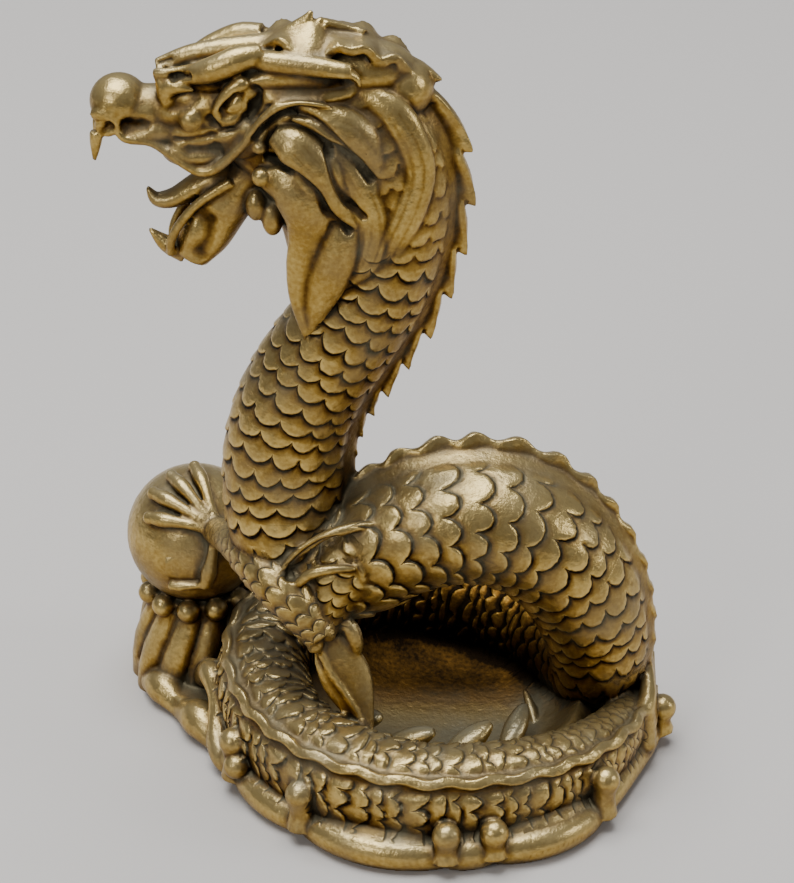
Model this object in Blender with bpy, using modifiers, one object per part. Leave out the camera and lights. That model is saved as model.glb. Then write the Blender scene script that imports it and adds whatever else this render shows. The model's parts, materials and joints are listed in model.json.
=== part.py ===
"""A small cast brass dragon that coils on a cloud base and holds a pearl under one claw.

Everything was cast in one pour, so the model is one solid. +Z is up, the dragon looks along -X, and the
origin is the centre of the coil on the underside of the base.
"""

import math

import bmesh
import bpy
from mathutils import Matrix, Vector

MM = 0.001

# Driving sizes of the dragon
DRAGON_HEIGHT = 46.7 * MM  # from the top of the base plate to the tip of the crest
CREST_THICKNESS = 0.62 * MM  # the serrated crest along the back
NECK_TOOTH = 2.2 * MM  # from one tip of the crest to the next
ARCH_TOOTH = 1.5 * MM
COIL_TOOTH = 2.2 * MM

# Driving sizes of the pearl and of the stand under it
PEARL_RADIUS = 4.3 * MM
PEARL_SEAT = 0.6 * MM  # how deep the pearl sits in its stand
STAND_MARGIN = 0.5 * MM  # how far the foot of the stand reaches past the seat
FLUTE_RADIUS = 1.1 * MM  # of a flute's round back
FLUTE_DEPTH = 0.4 * MM  # how far it stands out of the stand
FLUTE_COUNT = 12
BEAD_RADIUS = 0.72 * MM
BEAD_COUNT = 11
FINGER_RADIUS = 0.42 * MM  # the claws that hold the pearl

# Driving sizes of the base
PLATE_HEIGHT = 1.5 * MM
PLATE_INSET = 0.6 * MM  # how far the plate stays inside the widest line of the coil
ROLL_RADIUS = 0.95 * MM  # the rolled cloud edge round the plate
SCROLL_RADIUS = 0.78 * MM  # the curled ends of the cloud edge
WAVE_COUNT = 5  # they lie along the near half of the dish
WAVE_THICKNESS = 0.85 * MM

# How the casting is joined: all shapes are melted together at this grain and thinned to this many faces
GRAIN = 0.2 * MM
FACES = 9600

# The pose is written in millimetres, and scales so that the tip of the crest comes to the height above
CREST_TIP = (-7.1, 46.7)  # x and z of that tip in the pose
SHARE = DRAGON_HEIGHT / (CREST_TIP[1] * MM)

# Neck and arch: x, y, z of the middle of the body, its radius, and how far the crest stands above it
SPINE = [
    (-10.2, -1.0, 40.9, 1.8, 1.4),
    (-8.6, -1.0, 41.0, 2.0, 2.4),
    (-7.1, -1.0, 41.0, 2.2, 3.5),
    (-6.3, -0.9, 41.0, 2.3, 2.5),
    (-4.9, -0.9, 40.6, 2.5, 2.2),
    (-3.4, -0.9, 39.1, 2.7, 1.8),
    (-2.7, -0.8, 36.3, 2.75, 1.6),
    (-3.0, -0.7, 33.2, 2.8, 1.5),
    (-4.1, -0.5, 30.0, 2.9, 1.5),
    (-5.9, -0.3, 26.9, 3.0, 1.5),
    (-7.7, 0.0, 23.9, 3.1, 1.3),
    (-8.9, 0.2, 20.8, 3.2, 1.1),
    (-9.3, 0.3, 17.5, 3.3, 0.8),
    (-9.0, 0.0, 14.1, 3.3, 0.5),
    (-7.3, -0.7, 11.9, 3.3, 0.4),
    (-4.9, -1.2, 12.4, 3.3, 0.9),
    (-2.5, -1.4, 13.9, 3.3, 1.4),
    (0.2, -1.3, 14.8, 3.4, 1.8),
    (3.2, -1.0, 14.6, 3.45, 1.9),
    (5.8, -0.7, 13.1, 3.4, 1.7),
    (8.0, -0.3, 10.4, 3.25, 1.2),
    (9.2, 0.2, 6.9, 2.95, 1.0),
    (9.5, 0.9, 3.4, 2.6, 0.8),
]
# The coil on the base: angle from +X in degrees, distance from the centre, radius, height of its middle
COIL = [
    (22, 8.9, 2.4, 2.43),
    (50, 9.0, 2.4, 2.23),
    (80, 9.3, 2.4, 2.43),
    (110, 10.2, 2.4, 2.93),
    (140, 11.0, 2.45, 3.28),
    (170, 10.9, 2.5, 2.93),
    (200, 10.4, 2.5, 2.43),
    (230, 10.2, 2.5, 2.33),
    (260, 10.2, 2.4, 2.23),
    (290, 10.2, 2.25, 2.09),
    (318, 10.5, 1.9, 1.77),
    (345, 11.2, 1.4, 1.4),
    (368, 12.0, 0.8, 1.14),
]
COIL_CREST = (0.75, 0.9)  # height of the crest on the coil, and its rise for each step outward
COIL_FOOT = (0.8, 0.4, 0.62)  # the wall below the coil: out of its middle, height, and share of its radius
ARCH_CREST = (14, 0.4)  # the spine point from which the crest leans away from the front, and by how much
HEAD_PLANE = SPINE[0][1]  # y of the plane that the head is symmetric about
NECK_SIDES = 14
LOCK_SIDES = 8
STEPS = 4  # curve steps from one point of a path to the next
SEAM = 0.0005 * MM  # points this near are one point
CREST_STEPS = 9  # the same for the crest, fine enough for its teeth

PEARL_AT = (-15.1, 7.5, 8.8)  # the pearl's centre in the pose
PALM = (-68, 31)  # azimuth and elevation of the palm on the pearl, in degrees
FINGERS = [(-136, 35), (-152, 52), (-161, 71), (92, 87)]
THUMB = (-80, -14)
# The curled ends of the cloud edge: angle, how far out of the plate's edge, how tall, and how far the roll
# from there to the next one bulges
SCROLLS = [
    (42, 0.4, 1.9, 0.3),
    (82, 0.4, 1.9, 0.3),
    (118, 0.5, 1.9, 0.0),
    (174, 1.0, 3.6, 0.1),
    (203, 0.8, 3.5, 0.0),
    (231, 0.5, 3.3, 0.3),
    (271, 0.7, 2.7, 0.0),
    (283, 0.6, 2.6, 0.4),
    (317, 0.5, 3.4, -0.9),
    (358, 1.0, 2.6, 0.2),
]

BRASS = (0.50, 0.36, 0.13, 1.0)


def at(x, y, z):
    """A point of the figure, given in the pose's millimetres above the base plate."""
    return Vector((x, y, z)) * MM * SHARE + Vector((0, 0, PLATE_HEIGHT))


def size(length):
    """A length of the figure, given in the pose's millimetres."""
    return length * MM * SHARE


def polar(angle, distance, height):
    """A point at an angle in degrees round the origin."""
    turn = math.radians(angle)
    return Vector((distance * math.cos(turn), distance * math.sin(turn), height))


def smooth_path(rows, steps):
    """A Catmull-Rom curve through rows of equally many numbers."""
    ends = [[2 * a - b for a, b in zip(rows[0], rows[1])], [2 * a - b for a, b in zip(rows[-1], rows[-2])]]
    rows = [ends[0], *[list(row) for row in rows], ends[1]]
    path = []
    for a, b, c, d in zip(rows, rows[1:], rows[2:], rows[3:]):
        for step in range(steps):
            t = step / steps
            path.append([
                q + 0.5 * ((r - p) * t + (2 * p - 5 * q + 4 * r - s) * t**2 + (3 * q - p - 3 * r + s) * t**3)
                for p, q, r, s in zip(a, b, c, d)
            ])
    path.append(rows[-2])
    return path


def new_object(name, mesh_builder):
    mesh = bpy.data.meshes.new(name)
    mesh_builder.to_mesh(mesh)
    mesh_builder.free()
    thing = bpy.data.objects.new(name, mesh)
    bpy.context.scene.collection.objects.link(thing)
    return thing


def loft(name, centres, radii, facing, sides=LOCK_SIDES, flat=1.0):
    """A tube bent from a grid, with closed ends. facing is one direction or one for each centre, and flat
    squeezes the tube along it."""
    last = len(centres) - 1
    build = bmesh.new()
    bmesh.ops.create_grid(build, x_segments=last, y_segments=sides, size=0.5)
    for vert in build.verts:
        i = round((vert.co.x + 0.5) * last)
        angle = 2 * math.pi * (vert.co.y + 0.5)
        along = (centres[min(i + 1, last)] - centres[max(i - 1, 0)]).normalized()
        normal = facing[i] if isinstance(facing, list) else facing
        normal = (normal - along * normal.dot(along)).normalized()
        across = along.cross(normal)
        vert.co = centres[i] + (across * math.cos(angle) + normal * math.sin(angle) * flat) * radii[i]
    bmesh.ops.remove_doubles(build, verts=build.verts, dist=SEAM)
    bmesh.ops.holes_fill(build, edges=build.edges, sides=0)
    bmesh.ops.recalc_face_normals(build, faces=build.faces)
    return new_object(name, build)


def lock(name, rows, facing=(0, -1, 0), sides=LOCK_SIDES, flat=1.0):
    """A curl, horn, claw or limb through rows of x, y, z and radius in the pose's millimetres."""
    path = smooth_path(rows, STEPS)
    centres = [at(*row[:3]) for row in path]
    return loft(name, centres, [size(max(row[3], 0.05)) for row in path], Vector(facing), sides, flat)


def blob(name, x, y, z, radii):
    """An egg shape of the figure, in the pose's millimetres."""
    build = bmesh.new()
    bmesh.ops.create_uvsphere(build, u_segments=16, v_segments=10, radius=1.0)
    bmesh.ops.scale(build, vec=[size(r) for r in radii], verts=build.verts)
    bmesh.ops.translate(build, vec=at(x, y, z), verts=build.verts)
    return new_object(name, build)


def ball(name, centre, radius):
    build = bmesh.new()
    bmesh.ops.create_uvsphere(build, u_segments=18, v_segments=12, radius=radius)
    bmesh.ops.translate(build, vec=centre, verts=build.verts)
    return new_object(name, build)


def spine_rows():
    """Rows of x, y, z, radius, crest height and the crest's direction, for the body from head to tail."""
    rows = []
    for i, (x, y, z, radius, crest) in enumerate(SPINE):
        before = SPINE[max(i - 1, 0)]
        after = SPINE[min(i + 1, len(SPINE) - 1)]
        along = Vector([b - a for a, b in zip(before[:3], after[:3])]).normalized()
        lean = ARCH_CREST[1] if i >= ARCH_CREST[0] else 0.0
        up = Vector((0, -1, lean)).cross(along).normalized()
        rows.append((x, y, z, radius, crest, *up))
    for angle, distance, radius, rise in COIL:
        up = polar(angle, 1, COIL_CREST[1]).normalized()
        rows.append((*polar(angle, distance, rise), radius, COIL_CREST[0], *up))
    return rows


def body():
    """The scaled body: neck, arch and coil as one tube."""
    path = smooth_path(spine_rows(), STEPS)
    centres = [at(*row[:3]) for row in path]
    radii = [size(row[3]) for row in path]
    return loft("body", centres, radii, [Vector(row[5:8]) for row in path], NECK_SIDES)


def coil_wall():
    """Below its widest line the coil has a wall, which comes straight down to the rolled edge."""
    out, rise, share = COIL_FOOT
    path = smooth_path([(*polar(row[0], row[1] + out, rise), row[2] * share) for row in COIL], STEPS)
    radii = [size(row[3]) for row in path]
    return loft("coil_wall", [at(*row[:3]) for row in path], radii, Vector((0, 0, 1)))


def crest():
    """The crest: a strip along the back, with hooked teeth on the neck and low waves after it."""
    path = smooth_path(spine_rows(), CREST_STEPS)
    centres = [at(*row[:3]) for row in path]
    last = len(path) - 1
    teeth = [0.0]
    for i in range(last):
        point = i / CREST_STEPS
        pitch = NECK_TOOTH if point < ARCH_CREST[0] else ARCH_TOOTH if point < len(SPINE) else COIL_TOOTH
        teeth.append(teeth[-1] + (centres[i + 1] - centres[i]).length / pitch)
    build = bmesh.new()
    bmesh.ops.create_grid(build, x_segments=last, y_segments=2, size=0.5)
    for vert in build.verts:
        i = round((vert.co.x + 0.5) * last)
        level = round((vert.co.y + 0.5) * 2)
        row = path[i]
        along = (centres[min(i + 1, last)] - centres[max(i - 1, 0)]).normalized()
        up = Vector(row[5:8])
        up = (up - along * up.dot(along)).normalized()
        if i < ARCH_CREST[0] * CREST_STEPS:
            tooth = teeth[i] % 1.0
            top, lean = 0.55 + 0.5 * tooth, (0, 0.1, 0.5 * tooth)[level] * row[4]
        else:
            top, lean = 0.87 - 0.12 * math.cos(2 * math.pi * teeth[i]), 0
        height = (-0.8, row[4] * 0.4, row[4] * top)[level]
        vert.co = centres[i] + up * size(row[3] + height) + along * size(lean)
    strip = new_object("crest", build)
    wall = strip.modifiers.new("thickness", "SOLIDIFY")
    wall.thickness = CREST_THICKNESS
    wall.offset = 0
    tip = (CREST_TIP[0], HEAD_PLANE, CREST_TIP[1], 0.12)
    return [strip, lock("crest_peak", [(-8.2, HEAD_PLANE, 44.2, 0.6), (-7.5, HEAD_PLANE, 45.4, 0.45), tip])]


def head_side(side):
    """What the head has on each side. side is -1 for the near side and 1 for the far side."""
    name = "near" if side < 0 else "far"

    def rows(points):
        return [(x, HEAD_PLANE + side * out, z, radius) for x, out, z, radius in points]

    def curl(what, points, flat=1.0, sides=LOCK_SIDES):
        return lock(f"{what}_{name}", rows(points), (0, side, 0), sides, flat)

    eye = [(-11.3, 2.0, 42.2), (0.62, 0.0, 1.0), (-0.5, 0.1, 0.32)]
    eye_rim = []
    for k in range(9):
        turn = 2 * math.pi * k / 8
        eye_rim.append(tuple(c + u * math.cos(turn) + v * math.sin(turn) for c, u, v in zip(*eye)) + (0.27,))
    return [
        curl("lip", [(-17.9, 1.1, 40.9, 0.3), (-17.3, 1.25, 39.9, 0.32), (-16.1, 1.3, 39.6, 0.32),
                     (-14.9, 1.6, 39.1, 0.3), (-13.8, 1.9, 38.5, 0.3), (-12.9, 2.05, 38.2, 0.32),
                     (-11.9, 2.2, 38.9, 0.34), (-10.6, 2.4, 40.5, 0.34), (-9.1, 2.6, 42.1, 0.32),
                     (-7.9, 2.7, 42.6, 0.3), (-6.9, 2.75, 42.5, 0.24), (-6.0, 2.8, 42.2, 0.08)]),
        blob(f"upper_lip_{name}", -15.6, HEAD_PLANE + side * 0.9, 40.3, (1.8, 0.75, 0.85)),
        curl("brow", [(-15.4, 0.7, 43.3, 0.2), (-13.8, 1.4, 43.6, 0.6), (-12.2, 1.8, 44.1, 0.75),
                      (-10.6, 1.6, 44.7, 0.75), (-9.6, 1.4, 44.7, 0.6)]),
        curl("horn", [(-10.2, 1.4, 44.3, 0.6), (-7.7, 2.0, 44.5, 0.64), (-4.9, 2.5, 44.1, 0.55)]),
        curl("eye_rim", eye_rim, sides=6),
        blob(f"eyeball_{name}", -11.3, HEAD_PLANE + side * 1.85, 42.2, (0.55, 0.5, 0.6)),
        blob(f"cheek_{name}", -13.0, HEAD_PLANE + side * 1.2, 39.9, (2.0, 0.95, 1.3)),
        blob(f"mouth_corner_{name}", -13.5, HEAD_PLANE + side * 1.6, 39.1, (1.4, 0.6, 0.8)),
        blob(f"cheek_ball_{name}", -13.6, HEAD_PLANE + side * 1.6, 41.0, (0.65, 0.6, 0.65)),
        blob(f"nostril_{name}", -18.3, HEAD_PLANE + side * 1.0, 40.4, (0.6, 0.6, 0.6)),
        blob(f"ear_{name}", -9.9, HEAD_PLANE + side * 2.4, 38.0, (0.5, 0.45, 0.5)),
        curl("fang", [(-18.8, 0.9, 40.0, 0.4), (-18.9, 0.9, 39.2, 0.3), (-19.0, 0.9, 38.3, 0.1)]),
        curl("jaw_lip", [(-11.6, 1.25, 37.2, 0.3), (-13.6, 1.3, 35.7, 0.3), (-14.6, 1.1, 34.6, 0.3),
                         (-15.3, 0.6, 33.3, 0.3)]),
        curl("mane_top", [(-8.3, 2.3, 41.7, 0.4), (-6.2, 2.6, 41.7, 0.75), (-4.6, 2.8, 40.9, 0.8),
                          (-3.6, 2.6, 39.4, 0.55), (-3.1, 2.4, 37.7, 0.1)]),
        curl("mane_back", [(-4.6, 1.6, 42.7, 0.5), (-2.8, 2.1, 41.8, 0.75), (-1.8, 2.2, 40.0, 0.85),
                           (-1.4, 2.2, 38.3, 0.85), (-1.9, 2.4, 36.4, 0.85), (-2.7, 2.4, 34.7, 0.8),
                           (-3.3, 2.2, 33.2, 0.65), (-4.3, 2.2, 31.0, 0.15)]),
        curl("mane_cheek", [(-9.1, 2.2, 40.5, 0.7), (-7.2, 2.8, 39.8, 1.0), (-6.3, 3.0, 38.0, 0.95),
                            (-5.6, 3.0, 36.3, 0.7), (-4.7, 2.6, 35.0, 0.15)]),
        curl("mane_front", [(-10.5, 2.0, 38.1, 0.5), (-8.6, 2.7, 37.6, 1.0), (-7.6, 2.8, 36.3, 1.1),
                            (-7.5, 2.8, 34.4, 1.0), (-8.0, 2.5, 32.5, 0.85), (-8.3, 2.3, 30.5, 0.65),
                            (-7.8, 2.2, 28.0, 0.1)]),
        curl("mane_middle", [(-5.7, 2.2, 39.5, 0.5), (-4.4, 2.5, 37.6, 0.75), (-3.6, 2.6, 35.9, 0.8),
                             (-3.5, 2.6, 34.3, 0.8), (-3.9, 2.5, 32.6, 0.7), (-5.1, 2.4, 30.6, 0.15)]),
        curl("mane_low", [(-5.4, 2.7, 35.3, 0.6), (-5.6, 2.8, 33.4, 0.85), (-6.5, 2.7, 31.6, 0.8),
                          (-7.2, 2.5, 29.8, 0.55), (-7.6, 2.4, 28.1, 0.1)]),
    ]


def head():
    """Skull, long snout with a round nose, open jaw with its tongue, and the throat behind it."""
    plane = HEAD_PLANE
    return [
        blob("skull", -8.4, plane, 41.7, (3.2, 2.45, 2.4)),
        blob("forehead", -11.6, plane, 43.0, (3.3, 1.8, 1.2)),
        blob("nose", -17.7, plane, 41.4, (1.55, 1.6, 1.55)),
        lock("snout", [(-10.5, plane, 41.4, 2.3), (-13.5, plane, 41.3, 1.75), (-15.6, plane, 41.1, 1.25),
                       (-17.6, plane, 41.3, 1.3)], sides=14),
        lock("brow_ridge", [(-15.4, plane, 43.5, 0.3), (-13.1, plane, 44.0, 0.6), (-10.5, plane, 44.3, 0.8),
                            (-8.0, plane, 44.7, 0.8)]),
        lock("throat", [(-10.2, plane, 39.6, 2.0), (-8.6, plane, 37.6, 2.1), (-7.2, plane, 35.3, 2.1),
                        (-6.7, plane, 32.3, 1.9), (-7.0, plane, 29.5, 1.3)], sides=14),
        lock("jaw", [(-9.6, plane, 38.2, 1.3), (-10.8, plane, 36.9, 1.3), (-12.1, plane, 35.3, 1.45),
                     (-13.2, plane, 33.6, 1.45), (-14.0, plane, 32.2, 1.0)], sides=14, flat=1.1),
        lock("tongue", [(-11.6, plane, 37.3, 0.8), (-13.4, plane, 36.6, 0.7), (-14.9, plane, 35.6, 0.55),
                        (-15.8, plane, 35.5, 0.4), (-16.3, plane, 36.3, 0.12)], flat=1.3),
        lock("chin_tuft", [(-14.3, plane, 32.4, 0.7), (-15.4, plane, 32.9, 0.5), (-16.3, plane, 33.8, 0.1)]),
        *head_side(-1),
        *head_side(1),
    ]


def on_pearl(direction, out):
    """A point over the pearl, given as azimuth and elevation, out from its surface."""
    turn, rise = math.radians(direction[0]), math.radians(direction[1])
    way = Vector((math.cos(rise) * math.cos(turn), math.cos(rise) * math.sin(turn), math.sin(rise)))
    return pearl_centre() + way * (PEARL_RADIUS + out)


def pearl_centre():
    return at(*PEARL_AT)


def finger(name, tip):
    """A finger that lies on the pearl from the palm to its tip, with a knuckle behind the claw."""
    start = on_pearl(PALM, 0) - pearl_centre()
    end = on_pearl(tip, 0) - pearl_centre()
    centres, radii = [], []
    swell = [1.3, 1.0, 0.95, 1.0, 1.25, 1.1, 0.8]
    for k, share in enumerate(swell):
        way = start.slerp(end, k / (len(swell) - 1)).normalized()
        centres.append(pearl_centre() + way * (PEARL_RADIUS + FINGER_RADIUS * 0.7))
        radii.append(FINGER_RADIUS * share)
    return loft(name, centres, radii, Vector((0.3, -0.2, 1)))


def arm():
    """The near foreleg: shoulder, elbow with its tuft, and a five-clawed hand on the pearl."""
    palm = on_pearl(PALM, size(0.35))
    forearm = [(-7.0, -4.8, 9.3, 0.95), (-8.8, -4.1, 11.5, 1.35), (-10.5, -2.3, 12.4, 1.35),
               (-12.2, 0.6, 12.3, 1.1)]
    path = smooth_path(forearm, STEPS)
    centres = [at(*row[:3]) for row in path] + [palm]
    radii = [size(row[3]) for row in path] + [size(1.0)]
    return [
        lock("upper_arm", [(-3.2, -1.8, 13.6, 1.8), (-4.9, -2.5, 12.7, 2.15), (-6.2, -3.1, 11.6, 2.0),
                           (-6.9, -3.9, 10.4, 1.4), (-7.0, -4.5, 9.3, 0.9)], sides=12),
        loft("forearm", centres, radii, Vector((0, 0, 1)), sides=12),
        ball("palm", palm, size(1.0)),
        blob("elbow", -7.3, -5.0, 8.7, (0.55, 0.55, 0.6)),
        blob("elbow_spur", -6.3, -5.0, 9.3, (0.45, 0.45, 0.5)),
        lock("elbow_tuft", [(-6.8, -4.5, 9.5, 0.8), (-6.1, -4.6, 7.9, 1.2), (-5.2, -4.9, 6.1, 1.45),
                            (-4.6, -5.5, 4.4, 1.0), (-4.2, -6.2, 2.7, 0.2)], (0.1, -1, 0.6), flat=0.45),
        lock("shoulder_flame", [(-3.6, -2.6, 16.1, 0.15), (-5.0, -3.3, 16.3, 0.3), (-6.6, -3.65, 15.7, 0.32),
                                (-8.2, -3.8, 14.4, 0.32), (-9.1, -3.9, 13.1, 0.32),
                                (-8.6, -4.4, 12.5, 0.32), (-7.6, -4.75, 13.6, 0.32),
                                (-6.3, -4.75, 14.0, 0.3), (-5.0, -4.8, 13.9, 0.15)]),
        *[finger(f"finger_{k + 1}", tip) for k, tip in enumerate(FINGERS)],
        finger("thumb", THUMB),
    ]


def tail_tuft():
    """The tail ends in strands of hair that sweep up the edge of the base."""
    ends = [(12.7, 3.6, 4.6), (13.2, 2.6, 3.2), (13.4, 1.2, 1.6), (13.1, -0.4, 0.3), (12.4, -2.2, -0.3)]
    strands = []
    for k, (x, y, z) in enumerate(ends):
        rows = [(10.6, -4.4, 1.3, 0.9), (12.6, -1.4 - 0.4 * k, 2.6 - 0.6 * k, 0.75), (x, y, z, 0.15)]
        strands.append(lock(f"tail_strand_{k + 1}", rows))
    return strands


def plate_radius():
    """The plate stays a little inside the widest line of the coil."""
    widest = max(distance + radius for angle, distance, radius, rise in COIL if angle >= 200)
    return size(widest) - PLATE_INSET


def stand_place():
    place = pearl_centre()
    return Vector((place.x, place.y, 0))


def stand_top():
    return pearl_centre().z - PEARL_RADIUS + PEARL_SEAT


def stand_radius():
    """The seat is as wide as the pearl is at the height of the stand's top, and the beads lie outside it."""
    return math.sqrt(PEARL_RADIUS**2 - (PEARL_RADIUS - PEARL_SEAT) ** 2) + BEAD_RADIUS


def pearl_and_stand():
    """The pearl on its fluted stand, with a ring of beads round the seat."""
    seat = stand_radius()
    foot = seat + BEAD_RADIUS + STAND_MARGIN
    build = bmesh.new()
    bmesh.ops.create_cone(build, cap_ends=True, segments=32, radius1=foot, radius2=seat, depth=stand_top())
    bmesh.ops.translate(build, vec=stand_place() + Vector((0, 0, stand_top() / 2)), verts=build.verts)
    shapes = [new_object("stand", build), ball("pearl", pearl_centre(), PEARL_RADIUS)]
    for k in range(BEAD_COUNT):
        sunk = BEAD_RADIUS * 0.3
        place = stand_place() + polar(360 * k / BEAD_COUNT, seat + sunk, stand_top() - sunk)
        shapes.append(ball(f"bead_{k + 1}", place, BEAD_RADIUS))
    for k in range(FLUTE_COUNT):
        angle = 360 * k / FLUTE_COUNT
        sunk = FLUTE_RADIUS - FLUTE_DEPTH
        low = stand_place() + polar(angle, foot - sunk, 0)
        high = stand_place() + polar(angle + 24, seat - sunk, stand_top() - BEAD_RADIUS)
        middle = (low + high) / 2 + polar(angle + 10, FLUTE_DEPTH * 0.5, 0)
        shapes.append(loft(f"flute_{k + 1}", [low, middle, high], [FLUTE_RADIUS] * 3, polar(angle, 1, 0)))
    return shapes


def plate():
    """The base plate: a disc under the coil and a tongue that reaches under the stand."""
    foot = stand_radius() + BEAD_RADIUS + STAND_MARGIN
    build = bmesh.new()
    for place, radius in ((Vector((0, 0, 0)), plate_radius()), (stand_place(), foot)):
        disc = bmesh.ops.create_cone(
            build, cap_ends=True, segments=48, radius1=radius, radius2=radius, depth=PLATE_HEIGHT
        )
        bmesh.ops.translate(build, vec=place + Vector((0, 0, PLATE_HEIGHT / 2)), verts=disc["verts"])
    hull = bmesh.ops.convex_hull(build, input=build.verts)
    bmesh.ops.delete(build, geom=list(set(hull["geom_interior"])), context="VERTS")
    return [new_object("plate", build)]


def cloud_edge():
    """Rolled cloud bands round the plate. Each band runs between two scrolls that curl up."""
    shapes = []
    for (angle, out, tall, bulge), following in zip(SCROLLS, SCROLLS[1:] + SCROLLS[:1]):
        distance = plate_radius() + size(out)
        foot = polar(angle, distance, SCROLL_RADIUS)
        top = polar(angle, distance - SCROLL_RADIUS * 0.15, size(tall))
        shapes.append(loft(f"scroll_{angle}", [foot, top], [SCROLL_RADIUS] * 2, polar(angle + 90, 1, 0)))
        shapes.append(ball(f"scroll_top_{angle}", top, SCROLL_RADIUS))
        shapes.append(ball(f"scroll_foot_{angle}", foot, SCROLL_RADIUS))
        turn = (following[0] - angle) % 360
        steps = max(4, round(turn / 5))
        centres = []
        for k in range(steps + 1):
            share = k / steps
            swell = size(out + (following[1] - out) * share + bulge * math.sin(math.pi * share))
            distance = plate_radius() + swell - ROLL_RADIUS * 0.2
            centres.append(polar(angle + turn * share, distance, ROLL_RADIUS))
        radii = [ROLL_RADIUS] * len(centres)
        shapes.append(loft(f"roll_{angle}", centres, radii, Vector((0, 0, 1)), sides=10))
    return shapes


def waves():
    """Small wave crests on the plate inside the coil, each thin at one end and curled up at the other."""
    inner = size(min(distance - radius for angle, distance, radius, rise in COIL))
    shapes = []
    for k in range(WAVE_COUNT):
        angle = 200 + 200 * k / WAVE_COUNT
        path = [(0, 0.3, 0.4), (10, 0.7, 0.9), (20, 1.0, 1.1), (27, 1.7, 0.8), (31, 2.3, 0.25)]
        centres = [polar(angle + turn, inner, PLATE_HEIGHT + size(rise)) for turn, rise, thick in path]
        radii = [thick * WAVE_THICKNESS for turn, rise, thick in path]
        shapes.append(loft(f"wave_{k + 1}", centres, radii, Vector((0, 0, 1))))
    return shapes


def evaluated_mesh(thing):
    graph = bpy.context.evaluated_depsgraph_get()
    return bpy.data.meshes.new_from_object(thing.evaluated_get(graph), depsgraph=graph)


def melted(shapes):
    """One bmesh that holds every shape, and the shapes removed."""
    bpy.context.view_layer.update()
    build = bmesh.new()
    for shape in shapes:
        mesh = evaluated_mesh(shape)
        mesh.transform(shape.matrix_world)
        build.from_mesh(mesh)
        bpy.data.meshes.remove(mesh)
        bpy.data.objects.remove(shape)
    return build


def keep_outer_shell(thing):
    """Drops the walls of any sealed pocket, so that only the largest connected shell stays."""
    build = bmesh.new()
    build.from_mesh(thing.data)
    left = set(build.verts)
    shells = []
    while left:
        front = [left.pop()]
        shell = list(front)
        while front:
            near = {edge.other_vert(v) for v in front for edge in v.link_edges} & left
            left -= near
            front = list(near)
            shell += front
        shells.append(shell)
    shells.sort(key=len)
    bmesh.ops.delete(build, geom=[v for shell in shells[:-1] for v in shell], context="VERTS")
    build.to_mesh(thing.data)
    build.free()


def cast(shapes):
    """Melts the shapes into one solid with the surface of a casting, and thins its faces."""
    thing = new_object("dragon_melt", melted(shapes))
    grain = thing.modifiers.new("grain", "REMESH")
    grain.mode = "VOXEL"
    grain.voxel_size = GRAIN
    thing.data = evaluated_mesh(thing)
    thing.modifiers.clear()
    keep_outer_shell(thing)
    flatten_underside(thing)
    thin = thing.modifiers.new("thin", "DECIMATE")
    thin.ratio = FACES / (2 * len(thing.data.polygons))
    thin.use_collapse_triangulate = True
    thing.data = evaluated_mesh(thing)
    thing.modifiers.clear()
    flatten_underside(thing)  # thinning moves its points a little
    return thing


def flatten_underside(thing):
    """The casting is ground flat below, so every point under half a grain comes to the ground."""
    for vert in thing.data.vertices:
        if vert.co.z < GRAIN:
            vert.co.z = 0


def brass():
    material = bpy.data.materials.new("cast_brass")
    material.use_nodes = True
    shader = material.node_tree.nodes["Principled BSDF"]
    shader.inputs["Base Color"].default_value = BRASS
    shader.inputs["Metallic"].default_value = 1.0
    shader.inputs["Roughness"].default_value = 0.38
    return material


def main():
    for thing in list(bpy.data.objects):
        bpy.data.objects.remove(thing)
    dragon_shapes = [body(), coil_wall(), *crest(), *head(), *arm(), *tail_tuft()]
    dragon = cast([*dragon_shapes, *pearl_and_stand(), *plate(), *cloud_edge(), *waves()])
    dragon.name = "dragon_sculpture"
    dragon.data.materials.append(brass())
    dragon.data.shade_smooth()
    collection = bpy.data.collections.new("dragon_sculpture")
    bpy.context.scene.collection.children.link(collection)
    bpy.context.scene.collection.objects.unlink(dragon)
    collection.objects.link(dragon)


main()
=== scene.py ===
# %% [markdown]
# # A cast brass dragon
#
# The object is a small ornament, about 48 mm tall: a dragon that coils on a cloud base, raises its neck and
# holds a pearl under one claw. It was cast in one pour, so every form here ends up in one skin. The lesson
# builds the forms one by one, melts them together as a foundry does, works the skin with carving strokes, and
# then gives it the brass.

# %% Load the frame
import math

import bmesh
import bpy
import json
import numpy as np
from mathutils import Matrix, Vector
from mathutils.bvhtree import BVHTree
from mathutils.kdtree import KDTree

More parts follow.
